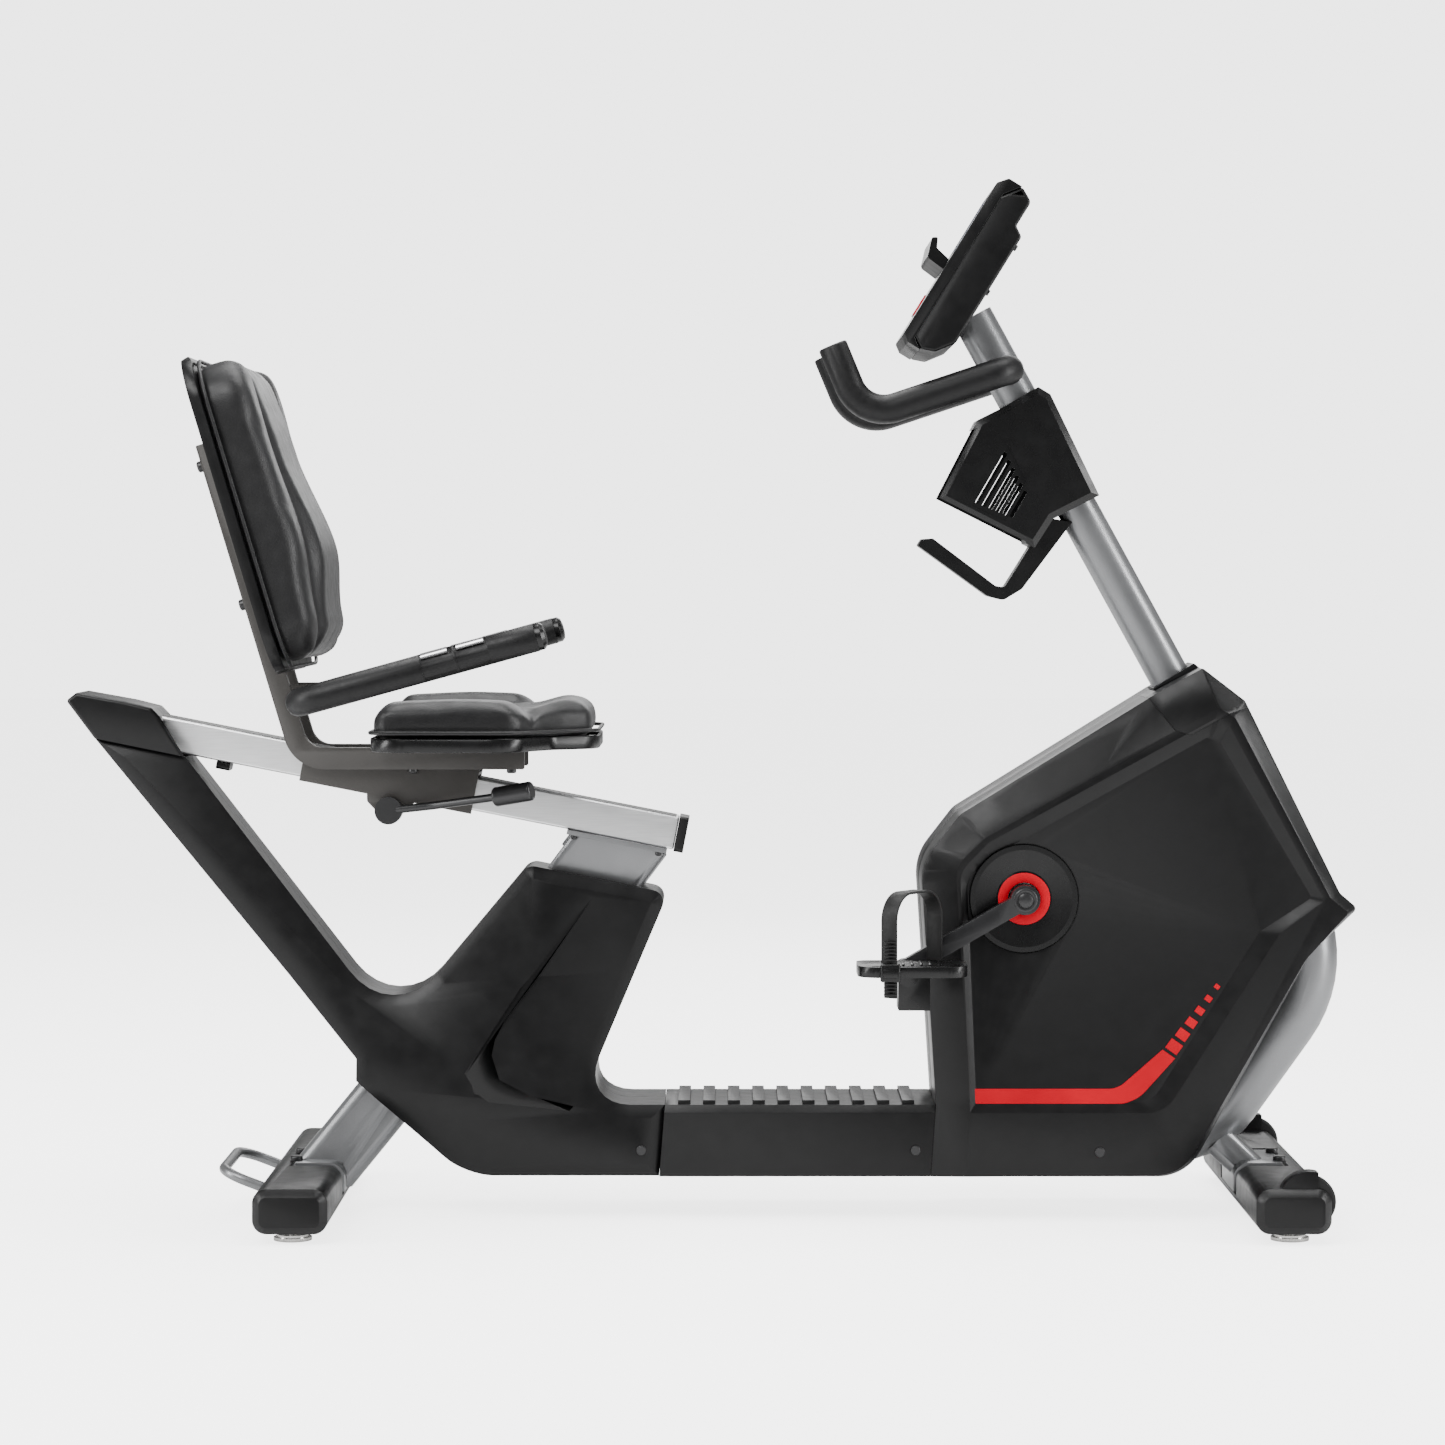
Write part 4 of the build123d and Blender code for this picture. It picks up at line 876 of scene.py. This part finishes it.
@dataclass
class Cushion:
    """Upholstered pad, worked flat and then laid in its place.

    Along and across its plan are X and Z while it is worked, and its thickness is Y.
    """

    name: str
    node: str
    plan: tuple[Point2, ...]
    rounds: tuple[float, ...]
    low: float
    high: float
    crown: float
    side: tuple[Point2, ...]
    panel: tuple[Point2, ...]
    seam: tuple[Point2, ...]
    place: Matrix
    cap: float = 7.0
    voxel: float = 5.0
    groove: Point2 = (6.5, 5.5)
    fill: float = 0.8
    calm: int = 4
    seam_blend: float = 26.0
    seam_side: float = 0.45

    def build(self) -> None:
        """Make the pad and the welt round its foot."""
        blank = prism(self.plan, self.low, self.high, self.rounds)
        foot = [vert.co.copy() for vert in blank.verts if abs(vert.co.y - self.low) < 0.01]
        bevel(blank, edges_where(blank, lambda a, b: min(a.y, b.y) > self.high - 0.01),
              self.crown, 4)
        bevel(blank, edges_where(blank, lambda a, b: max(a.y, b.y) < self.low + 0.01), 4, 2)
        pad = swell(blank, self.voxel, self.cap)
        for vert in pad.verts:
            self.settle(vert)
        for _ in range(self.calm):
            bmesh.ops.smooth_vert(pad, verts=pad.verts, factor=0.5, use_axis_x=True,
                                  use_axis_y=True, use_axis_z=True)
        bmesh.ops.transform(pad, matrix=self.place, verts=pad.verts)
        obj = piece(self.name, pad, Body.SEAT, "vinyl", (self.node,), smooth=180)
        finer = obj.modifiers.new("finer", "SUBSURF")
        finer.levels = finer.render_levels = 1
        self.welt(foot)

    def settle(self, vert: bmesh.types.BMVert) -> None:
        """Give one point its thickness, and sink it where a seam runs.

        Args:
            vert: Point of the pad, whose Y is its height.
        """
        place = Vector((vert.co.x, abs(vert.co.z)))
        lead = (place.y - along(self.seam, place.x)) / self.seam_blend + 0.5
        share = along(((0, 0), (1, 1)), lead)
        target = along(self.panel, place.x) * (1 - share) + along(self.side, place.x) * share
        rise = (vert.co.y - self.low) / (self.high - self.low)
        vert.co.y = self.low + rise * (target - self.low)
        if rise > self.seam_side:
            depth, width = self.groove
            gap = far_from(self.seam, place)
            vert.co.y -= depth * math.exp(-(gap / width) ** 2)

    def welt(self, foot: list[Vector]) -> None:
        """Piping sewn round the foot of the pad.

        Args:
            foot: Points on the pad's lowest rim.
        """
        middle = sum(foot, Vector()) / len(foot)
        foot.sort(key=lambda point: math.atan2(point.z - middle.z, point.x - middle.x))
        route = [self.place @ (point + Vector((0, 5, 0)) + (point - middle).normalized() * 1.5)
                 for point in foot]
        piece(f"{self.name}_welt", tube(route, 2.4, cyclic=True), Body.SEAT, "vinyl", smooth=60)


@dataclass
class Seat:
    """Both cushions with the pan's lip and the back's shell."""

    half: float = 203.0
    back_half: float = 190.0
    foot: Point2 = (-505.0, 616.0)
    lean: float = math.radians(73.3)

    def build(self) -> None:
        """Make both pads and ease the mouldings that hold them."""
        self.seat_pad().build()
        self.back_pad().build()
        piece("seat_pan_moulding", from_cad("seat_pan"), Body.SEAT, "trim_black",
              ("seat_pan",), 2.2)
        piece("back_shell_moulding", from_cad("back_shell"), Body.SEAT, "cover_black",
              ("back_shell",), 2.4)

    def seat_pad(self) -> Cushion:
        """Seat pad: two side bolsters and a centre panel that runs out over the nose.

        Returns:
            The seat pad, not built yet.
        """
        half = self.half
        return Cushion(
            "seat_pad", "seat_cushion",
            plan=((-407, -half), (-236, -half), (-172, -128), (-136, -94), (-136, 94),
                  (-172, 128), (-236, half), (-407, half)),
            rounds=(26, 34, 40, 24, 24, 40, 34, 26), low=601.5, high=634, crown=11,
            side=((-409, 628), (-388, 636), (-300, 638), (-250, 637), (-222, 631), (-200, 624)),
            panel=((-409, 626), (-380, 627), (-300, 625), (-225, 628), (-175, 637), (-150, 636),
                   (-136, 630)),
            seam=((-420, 112), (-246, 114), (-221, 134), (-205, 190), (-202, 240)),
            place=Matrix.Rotation(math.pi / 2, 4, "X"))

    def back_pad(self) -> Cushion:
        """Back pad: lumbar bulge between two long side bolsters.

        Returns:
            The back pad, not built yet.
        """
        half = self.back_half
        up = Vector((-math.cos(self.lean), 0, math.sin(self.lean)))
        out = Vector((math.sin(self.lean), 0, math.cos(self.lean)))
        place = Matrix((up, out, (0, 1, 0))).transposed().to_4x4()
        place.translation = (self.foot[0], 0, self.foot[1])
        return Cushion(
            "back_pad", "back_cushion",
            plan=((66, -half), (452, -half), (452, half), (66, half)),
            rounds=(58, 58, 58, 58), low=14.5, high=62, crown=17,
            side=((66, 52), (125, 60), (220, 69), (335, 65), (450, 67)),
            panel=((66, 50), (110, 67), (200, 83), (330, 70), (450, 64)),
            seam=((40, 124), (120, 118), (250, 108), (400, 112), (480, 118)),
            place=place, cap=7.0, voxel=5.5, groove=(10.0, 7.5))


@dataclass
class RearCovers:
    """Moulded covers on both sides of the rear supports, faceted along every edge."""

    outline: tuple[Point2, ...] = ((-761, 594), (-436, 198), (-436, 171), (-361, 107), (-300, 54),
                                   (-61, 54), (-54, 142), (-160, 142), (-50, 402), (-224, 437),
                                   (-392, 236), (-649, 571))
    rounds: tuple[float, ...] = (0, 0, 0, 0, 90, 0, 0, 42, 16, 16, 70, 0)
    halves: tuple[Point2, ...] = ((54, 84), (150, 84), (300, 59), (610, 50))
    band: float = 15.0
    drop: float = 8.0
    blank_half: float = 100.0
    parting: float = 0.4
    pressed: float = 13.0
    outer_cut: tuple[Point2, ...] = ((-142, 399), (-183, 347), (-233, 285), (-270, 242),
                                     (-295, 204), (-302, 180), (-295, 158), (-276, 145),
                                     (-249, 139), (-172, 135))
    inner_cut: tuple[Point2, ...] = ((-166, 141), (-221, 154), (-258, 173), (-268, 203),
                                     (-264, 222), (-251, 247), (-208, 303))

    def half_width(self, height: float) -> float:
        """Half the cover's width at a height.

        Args:
            height: Z in millimetres.

        Returns:
            Half the width in millimetres.
        """
        for (low, wide), (high, narrow) in zip(self.halves, self.halves[1:]):
            if height <= high:
                part = max(0.0, (height - low) / (high - low))
                return wide + (narrow - wide) * part
        return self.halves[-1][1]

    def build(self) -> None:
        """Make the right cover and its twin."""
        right = carve(self.shell(), self.scoop())
        left = flip(right)
        piece("rear_cover_right_shell", right, Body.FRAME, "cover_black",
              ("rear_cover_right",), 1.4)
        piece("rear_cover_left_shell", left, Body.FRAME, "cover_black", ("rear_cover_left",), 1.4)

    def shell(self) -> bmesh.types.BMesh:
        """Outline with its face leaned in, and a bevelled band along its rim.

        Returns:
            The right half of the cover.
        """
        mesh = prism(self.outline, -self.blank_half, -self.parting, self.rounds)
        for height, _ in self.halves[1:-1]:
            bmesh.ops.bisect_plane(mesh, geom=mesh.verts[:] + mesh.edges[:] + mesh.faces[:],
                                   plane_co=(0, 0, height), plane_no=(0, 0, 1), dist=1e-4)
        near = [face for face in mesh.faces
                if face.calc_center_median().y < 0.1 - self.blank_half]
        bmesh.ops.inset_region(mesh, faces=near, thickness=self.band, use_even_offset=True,
                               use_boundary=True)
        inner = {vert for face in near for vert in face.verts}
        for vert in mesh.verts:
            if vert.co.y < 1 - self.blank_half:
                sunk = 0 if vert in inner else self.drop
                vert.co.y = -self.half_width(vert.co.z) + sunk
        return mesh

    def scoop(self) -> bmesh.types.BMesh:
        """Cutter for the crescent pressed into the front arm.

        Returns:
            The cutter for the right half.
        """
        ring = (*self.outer_cut, *self.inner_cut)
        mesh = prism(ring, -110, -60)
        for vert in mesh.verts:
            if vert.co.y > -61:
                shallow = any(math.dist(point, (vert.co.x, vert.co.z)) < 0.1
                              for point in self.outer_cut)
                vert.co.y = -self.half_width(vert.co.z) + (-0.3 if shallow else self.pressed)
        return mesh


@dataclass
class Stripes:
    """Red inlays: the stripe on each side panel and the ring round each crank."""

    low: float = 145.0
    high: float = 164.0
    start: float = 323.0
    turn: float = 506.0
    face: float = 93.0
    corner: Point2 = (567.0, 207.0)
    tip: Point2 = (633.0, 300.0)
    dashes: int = 6
    proud: float = 0.8
    sunk: float = 0.6
    ring: Point2 = (32.0, 20.0)

    def build(self) -> None:
        """Make the stripe and the ring of each side."""
        stripe = join(*self.sections())
        piece("side_stripe_left", flip(stripe), Body.FRAME, "stripe_red", soften=0.2)
        piece("side_stripe_right", stripe, Body.FRAME, "stripe_red", soften=0.2)
        low, high = box_mm("crank_covers")
        spindle_low, spindle_high = box_mm("crank_spindle")
        centre = (spindle_low + spindle_high) / 2
        for side, face in ((Side.RIGHT, low.y), (Side.LEFT, high.y)):
            outer, inner = self.ring
            profile = ((inner, -1.0), (inner, 0.8), (inner + 1, 1.4), (outer - 1, 1.4),
                       (outer, 0.8), (outer, -1.0), (inner, -1.0))
            ring = lathe(profile, Vector((centre.x, face, centre.z)),
                         Vector((0, side.value, 0)), 72)
            piece(f"crank_ring_{side.name.lower()}", ring, Body.FRAME, "stripe_red", smooth=50)

    def sections(self) -> list[bmesh.types.BMesh]:
        """The long run with its bend, then dashes that shrink up the slope.

        Returns:
            The run and its dashes, on the right side.
        """
        bend = Vector(self.corner)
        climb = (Vector(self.tip) - bend).normalized()
        side = Vector((climb.y, -climb.x))
        wide = (self.high - self.low) / 2
        upper, lower = bend - side * wide, bend + side * wide
        run = ((self.start, self.low), (self.turn + 18, self.low), tuple(lower), tuple(upper),
               (self.turn - 2, self.high), (self.start, self.high))
        parts = [prism(run, -self.face - self.proud, -self.face + self.sunk, (0, 45, 0, 0, 26, 0))]
        reach = (Vector(self.tip) - bend).length
        for index in range(self.dashes):
            begin = reach * (index + 0.22) / self.dashes
            length = reach / self.dashes * (0.74 - 0.09 * index)
            half = wide * (1 - 0.11 * (index + 1))
            foot = bend + climb * begin
            head = foot + climb * length
            dash = [tuple(foot + side * half), tuple(foot - side * half),
                    tuple(head - side * half), tuple(head + side * half)]
            parts.append(prism(dash, -self.face - self.proud, -self.face + self.sunk))
        return parts


@dataclass
class CrankHubs:
    """Collar and domed bolt that hold each crank arm on the spindle."""

    profile: tuple[Point2, ...] = ((0, -2), (14.5, -2), (14.5, 0.6), (13.5, 1.4), (11, 1.4),
                                   (10.2, 0.8), (9.4, 0.8), (8.8, 2.6), (6.6, 3.8), (3.2, 4.3),
                                   (0, 4.4))

    def build(self) -> None:
        """Turn one hub for each arm."""
        spindle_low, spindle_high = box_mm("crank_spindle")
        centre = (spindle_low + spindle_high) / 2
        for side in Side:
            face = self.outer_face(side)
            hub = lathe(self.profile, Vector((centre.x, face, centre.z)),
                        Vector((0, side.value, 0)), 48)
            piece(f"crank_hub_{side.name.lower()}", hub, Body.CRANK, "bolt_black", smooth=40)

    def outer_face(self, side: Side) -> float:
        """Y of the arm's outer face over the spindle.

        Args:
            side: Side of the bike.

        Returns:
            Y in millimetres.
        """
        spindle_low, spindle_high = box_mm("crank_spindle")
        centre = (spindle_low + spindle_high) / 2
        data = frame["nodes"][f"crank_arm_{side.name.lower()}"].data
        near = [vert.co.y * 1000 for vert in data.vertices
                if math.dist((vert.co.x * 1000, vert.co.z * 1000), (centre.x, centre.z)) < 24]
        return max(near, key=lambda y: y * side.value)


@dataclass
class Pedals:
    """Pedals with a ridged tread and a ribbed strap."""

    ridges: int = 7
    pitch: float = 11.0
    ridge_half: float = 1.8
    ridge_rise: float = 1.6
    inset: float = 22.0

    def build(self) -> None:
        """Dress both pedals."""
        for side, body in ((Side.RIGHT, Body.RIGHT_PEDAL), (Side.LEFT, Body.LEFT_PEDAL)):
            word = side.name.lower()
            node, strap = f"pedal_{word}", f"pedal_strap_{word}"
            piece(f"{node}_body", from_cad(node), body, "trim_black", (node,), 1.5)
            piece(f"{strap}_band", from_cad(strap), body, "rubber", (strap,), 0.8)
            piece(f"{node}_tread", self.tread(node), body, "trim_black", smooth=30)
            piece(f"{strap}_buckle", self.buckle(strap, side), body, "trim_black",
                  smooth=30)

    def buckle(self, strap: str, side: Side) -> bmesh.types.BMesh:
        """Buckle under the pedal's outer edge, and the teeth of the strap above and below it.

        Args:
            strap: Name of the strap's CAD node.
            side: Side of the bike.

        Returns:
            Buckle and teeth as one workpiece.
        """
        low, high = box_mm(strap)
        outer = low.y if side is Side.RIGHT else -high.y
        x = low.x + 12
        parts = [block((x - 13, outer - 3, low.z + 20), (x + 11, outer + 10, low.z + 42), 2.6, 3),
                 block((x - 10, outer - 5, low.z + 25), (x + 8, outer - 1, low.z + 36), 1.4)]
        for index in range(10):
            z = low.z + 4 + index * 4.2 if index < 4 else low.z + 46 + (index - 4) * 4.2
            parts.append(block((x - 9, outer - 0.6, z), (x + 7, outer + 4.6, z + 2.2), 0.8))
        whole = join(*parts)
        return whole if side is Side.RIGHT else flip(whole)

    def tread(self, node: str) -> bmesh.types.BMesh:
        """Ridges across the top of a pedal.

        Args:
            node: Name of the pedal's CAD node.

        Returns:
            The ridges as one workpiece.
        """
        low, high = box_mm(node)
        middle = (low.x + high.x) / 2
        bars = []
        for index in range(self.ridges):
            x = middle + (index - (self.ridges - 1) / 2) * self.pitch
            bars.append(block((x - self.ridge_half, low.y + self.inset, high.z - 1),
                              (x + self.ridge_half, high.y - self.inset,
                               high.z + self.ridge_rise), 0.9))
        return join(*bars)


@dataclass
class Grips:
    """Foam grips with moulded end caps and small hand-pulse plates."""

    plates: tuple[Point2, ...] = ((-336.0, -305.0), (-294.0, -262.0))
    radius: float = 17.0
    tilt: float = -84.0
    sweep: float = 44.0
    stand_off: float = 0.9
    thickness: float = 1.6
    cap: tuple[Point2, ...] = ((0, -3), (15.5, -3), (16.5, -1), (16.5, 5), (13, 9), (6, 10.5),
                               (0, 10.5))
    start: Vector = field(default_factory=lambda: Vector((-487, 0, 645)))
    end: Vector = field(default_factory=lambda: Vector((-203, 0, 723.2)))

    def build(self) -> None:
        """Make the foam, its caps and the plates."""
        piece("seat_grip_foam", from_cad("seat_grips"), Body.SEAT, "foam", ("seat_grips",), 2.0)
        piece("handlebar_foam", from_cad("handlebar_grip"), Body.FRAME, "foam", ("handlebar_grip",),
              2.5)
        low, _ = box_mm("seat_grips")
        reach = low.y + self.radius
        axis = (self.end - self.start).normalized()
        cap = lathe(self.cap, self.end + Vector((0, reach, 0)) + axis * 1.5, axis, 40)
        piece("grip_end_caps", join(flip(cap), cap), Body.SEAT, "trim_black", smooth=35)
        plates = [self.plate(first, second, reach, axis) for first, second in self.plates]
        twins = [flip(plate) for plate in plates]
        piece("pulse_plates", join(*plates, *twins), Body.SEAT, "contact_chrome",
              ("pulse_sensors",), smooth=40)

    def plate(self, first: float, second: float, reach: float,
              axis: Vector) -> bmesh.types.BMesh:
        """Curved plate laid on the upper outer side of a grip.

        Args:
            first: X of its rear end.
            second: X of its front end.
            reach: Y of the grip's axis.
            axis: Direction of the grip.

        Returns:
            The workpiece.
        """
        mesh = bmesh.new()
        points = []
        for x in (first, second):
            centre = self.start + axis * ((x - self.start.x) / axis.x) + Vector((0, reach, 0))
            outward = Matrix.Rotation(math.radians(self.tilt), 3, axis) @ Vector((0, -1, 0))
            points.append((centre, outward))
        verts = [mesh.verts.new(centre + outward * (self.radius + self.stand_off))
                 for centre, outward in points]
        edge = mesh.edges.new(verts)
        bmesh.ops.spin(mesh, geom=[*verts, edge], cent=points[0][0], axis=axis,
                       angle=math.radians(self.sweep), steps=8)
        bmesh.ops.recalc_face_normals(mesh, faces=mesh.faces)
        bmesh.ops.solidify(mesh, geom=mesh.faces[:], thickness=self.thickness)
        bmesh.ops.recalc_face_normals(mesh, faces=mesh.faces)
        return mesh


@dataclass
class Rail:
    """Anodised seat rail, plain along its sides, with a dark strip let into its top."""

    edge: float = 2.5
    strip_half: float = 26.0
    strip_rise: float = 0.5
    inset: float = 8.0
    slope: float = 11.1

    def build(self) -> None:
        """Make the beam and the strip."""
        self.strip()
        self.beam()

    def strip(self) -> None:
        """Dark strip along the top of the rail."""
        low, high = box_mm("seat_rail")
        run = high.x - low.x - 12
        drop = run * math.tan(math.radians(self.slope))
        front = low.x + self.inset + run
        ring = ((low.x + self.inset, high.z - 0.5), (front, high.z - drop - 0.5),
                (front, high.z - drop + self.strip_rise),
                (low.x + self.inset, high.z + self.strip_rise))
        # Plain dark strip laid along the rail's top face.
        piece("rail_top_strip", prism(ring, -self.strip_half, self.strip_half), Body.FRAME,
              "trim_black", soften=0.2)

    def beam(self) -> None:
        """Closed hull of the rail's section."""
        section = from_cad("seat_rail")
        hull = bmesh.ops.convex_hull(section, input=section.verts, use_existing_faces=False)
        spare = {item for key in ("geom_interior", "geom_unused") for item in hull[key]}
        bmesh.ops.delete(section, geom=[item for item in spare
                                        if isinstance(item, bmesh.types.BMVert)],
                         context="VERTS")
        skin = {item for item in hull["geom"] if isinstance(item, bmesh.types.BMFace)}
        bmesh.ops.delete(section, geom=[face for face in section.faces if face not in skin],
                         context="FACES_ONLY")
        bmesh.ops.dissolve_limit(section, angle_limit=math.radians(0.6), verts=section.verts,
                                 edges=section.edges)
        bmesh.ops.recalc_face_normals(section, faces=section.faces)
        piece("seat_rail_beam", section, Body.FRAME, "rail_silver", ("seat_rail",), self.edge)


@dataclass
class BottleHolder:
    """Moulded holder clamped round the mast, with slotted cheeks and a hooked strap."""

    shell: tuple[Point2, ...] = ((283, 891), (333, 988), (359, 1001), (408, 1029), (423, 1020),
                                 (484, 895), (427, 866), (404, 830))
    half: float = 46.0
    band: float = 8.0
    drop: float = 5.5
    hollow: tuple[Point2, ...] = ((250, 845), (312, 972), (335, 979), (362, 984), (402, 912),
                                  (392, 843), (398, 815))
    window: tuple[Point2, ...] = ((371, 956), (393, 913), (368, 863), (326, 882))
    cavity_half: float = 42.0
    recess: float = 1.6
    through: float = 60.0
    slots: int = 6
    slot_foot: Point2 = (332.0, 885.0)
    slot_step: Point2 = (8.4, -3.4)
    slot_length: float = 72.0
    slot_shrink: float = 7.0
    slot_half: float = 2.4
    strap_half: float = 21.0
    mast_lean: float = 28.87
    bore: float = 25.6
    strap: tuple[Point2, ...] = ((452, 862), (390, 779), (367, 765), (347, 770), (260, 833),
                                 (265, 841), (279, 842), (357, 783), (368, 781), (396, 826),
                                 (420, 868))
    strap_rounds: tuple[float, ...] = (0, 8, 8, 8, 2, 1, 2, 5, 5, 0, 0)

    def build(self) -> None:
        """Make the holder and its strap."""
        body = prism(self.shell, -self.half, self.half)
        for side in Side:
            face = [face for face in body.faces
                    if abs(face.calc_center_median().y - side.value * self.half) < 0.01]
            bmesh.ops.inset_region(body, faces=face, thickness=self.band, use_even_offset=True)
            inner = {vert for item in face for vert in item.verts}
            for vert in body.verts:
                if abs(vert.co.y - side.value * self.half) < 0.01 and vert not in inner:
                    vert.co.y -= side.value * self.drop
        body = carve(body, prism(self.hollow, -self.cavity_half, self.cavity_half))
        for cutter in (*self.cutters(), self.mast_bore()):
            body = carve(body, cutter)
        piece("bottle_holder_shell", body, Body.FRAME, "trim_black", ("bottle_holder",), 0.5, 24)
        strap = prism(self.strap, -self.strap_half, self.strap_half, self.strap_rounds)
        piece("bottle_holder_strap", carve(strap, self.mast_bore()), Body.FRAME, "trim_black",
              soften=1.6)

    def cutters(self) -> list[bmesh.types.BMesh]:
        """Window recess on both cheeks, then the slots that run through it.

        Returns:
            Two window cutters and one for each slot.
        """
        sill = self.half - self.recess
        parts = [prism(self.window, -self.through, -sill), prism(self.window, sill, self.through)]
        lean = Vector((0.5, 0.866))
        across = Vector((0.866, -0.5))
        for index in range(self.slots):
            foot = Vector(self.slot_foot) + Vector(self.slot_step) * index
            head = foot + lean * (self.slot_length - self.slot_shrink * index)
            wide = across * self.slot_half
            ring = [tuple(foot - wide), tuple(foot + wide), tuple(head + wide), tuple(head - wide)]
            parts.append(prism(ring, -self.through, self.through))
        return parts

    def mast_bore(self) -> bmesh.types.BMesh:
        """Round hole for the mast.

        Returns:
            Cutter on the mast's own axis.
        """
        low, high = box_mm("mast")
        lean = Matrix.Rotation(-math.radians(self.mast_lean), 4, "Y")
        place = Matrix.Translation((low + high) / 2) @ lean
        mesh = bmesh.new()
        bmesh.ops.create_cone(mesh, cap_ends=True, segments=64, radius1=self.bore,
                              radius2=self.bore, depth=1000, matrix=place)
        return mesh


@dataclass
class Studio:
    """Floor, lights and the camera."""

    eye: Sequence[float] = (0.0174, -5.017, 0.803)
    pitch: float = 2.18
    lens: float = 100.0
    sky_glow: Point2 = (0.34, 3.6)
    floor_glow: Point2 = (0.25, 3.2)

    def build(self) -> None:
        """Place the floor, the lights and the camera."""
        self.camera()
        self.floor()
        self.world()
        self.lamp("key", (-1.6, -2.4, 3.0), (0, 0, 0.5), (2.2, 1.6), 120)
        self.lamp("top", (0.2, 0.3, 3.4), (0, 0, 0.4), (3.2, 2.0), 140)
        self.lamp("front_strip", (3.0, -1.0, 1.3), (0.4, 0, 0.6), (0.7, 2.2), 85)
        self.lamp("rear_strip", (-3.0, -0.9, 1.3), (-0.4, 0, 0.5), (0.7, 2.2), 70)
        self.lamp("back", (0.5, 3.4, 2.2), (0, 0, 0.6), (3.0, 1.6), 50)

    def camera(self) -> None:
        """Camera at the viewing angle."""
        data = bpy.data.cameras.new("camera")
        data.lens = self.lens
        data.sensor_width = 36
        data.clip_end = 60
        obj = bpy.data.objects.new("camera", data)
        obj.location = self.eye
        obj.rotation_euler = (math.radians(90 - self.pitch), 0, 0)
        bpy.context.scene.collection.objects.link(obj)
        bpy.context.scene.camera = obj

    def floor(self) -> None:
        """Plain pale floor."""
        mesh = bmesh.new()
        bmesh.ops.create_grid(mesh, x_segments=1, y_segments=1, size=20)
        data = bpy.data.meshes.new("floor")
        mesh.to_mesh(data)
        mesh.free()
        obj = bpy.data.objects.new("floor", data)
        obj.location = (0, 0, -0.0005)
        bpy.context.scene.collection.objects.link(obj)
        bench = NodeBench("pale_floor")
        bench.tint(bench.noise(2, 2), (0.86, 0.86, 0.86), (0.88, 0.88, 0.88))
        bench.constant("Roughness", 0.8)
        bench.constant("Specular IOR Level", 0.1)
        bench.constant("Emission Color", (1, 1, 1, 1))
        bench.tree.links.new(self.glow(bench.tree, self.floor_glow),
                             bench.shader.inputs["Emission Strength"])
        data.materials.append(bench.material)

    def world(self) -> None:
        """Even white surroundings."""
        world = bpy.data.worlds.new("studio")
        world.use_nodes = True
        background = world.node_tree.nodes["Background"]
        background.inputs["Color"].default_value = (1, 1, 1, 1)
        world.node_tree.links.new(self.glow(world.node_tree, self.sky_glow),
                                  background.inputs["Strength"])
        bpy.context.scene.world = world

    def glow(self, tree: bpy.types.NodeTree, levels: Point2) -> bpy.types.NodeSocket:
        """Brightness that lights the bike by the first level and shows as the second.

        Args:
            tree: Node tree of the world or floor.
            levels: Brightness for the bike and for the camera.

        Returns:
            Socket with the brightness.
        """
        rays = tree.nodes.new("ShaderNodeLightPath")
        level = tree.nodes.new("ShaderNodeMapRange")
        level.inputs["To Min"].default_value, level.inputs["To Max"].default_value = levels
        tree.links.new(rays.outputs["Is Camera Ray"], level.inputs["Value"])
        return level.outputs["Result"]

    def lamp(self, name: str, place: Sequence[float], target: Sequence[float],
             size: Point2, power: float) -> None:
        """Softbox turned towards a target.

        Args:
            name: Name of the lamp.
            place: Position in metres.
            target: Point that it faces.
            size: Width and height in metres.
            power: Power in watts.
        """
        data = bpy.data.lights.new(name, "AREA")
        data.shape = "RECTANGLE"
        data.size, data.size_y = size
        data.energy = power
        obj = bpy.data.objects.new(name, data)
        obj.location = place
        aim = Vector(target) - Vector(place)
        obj.rotation_euler = aim.to_track_quat("-Z", "Y").to_euler()
        bpy.context.scene.collection.objects.link(obj)


def main() -> None:
    """Build the studio and each sub-assembly."""
    logging.basicConfig(level=logging.INFO, format="%(message)s")
    for assembly in (Studio(), Chassis(), RearCovers(), Stripes(), Rail(), BottleHolder(),
                     CrankHubs(), Pedals(), Grips(), Seat()):
        LOG.info("building %s", type(assembly).__name__)
        assembly.build()
    bpy.context.view_layer.update()


if __name__ == "__main__":
    main()
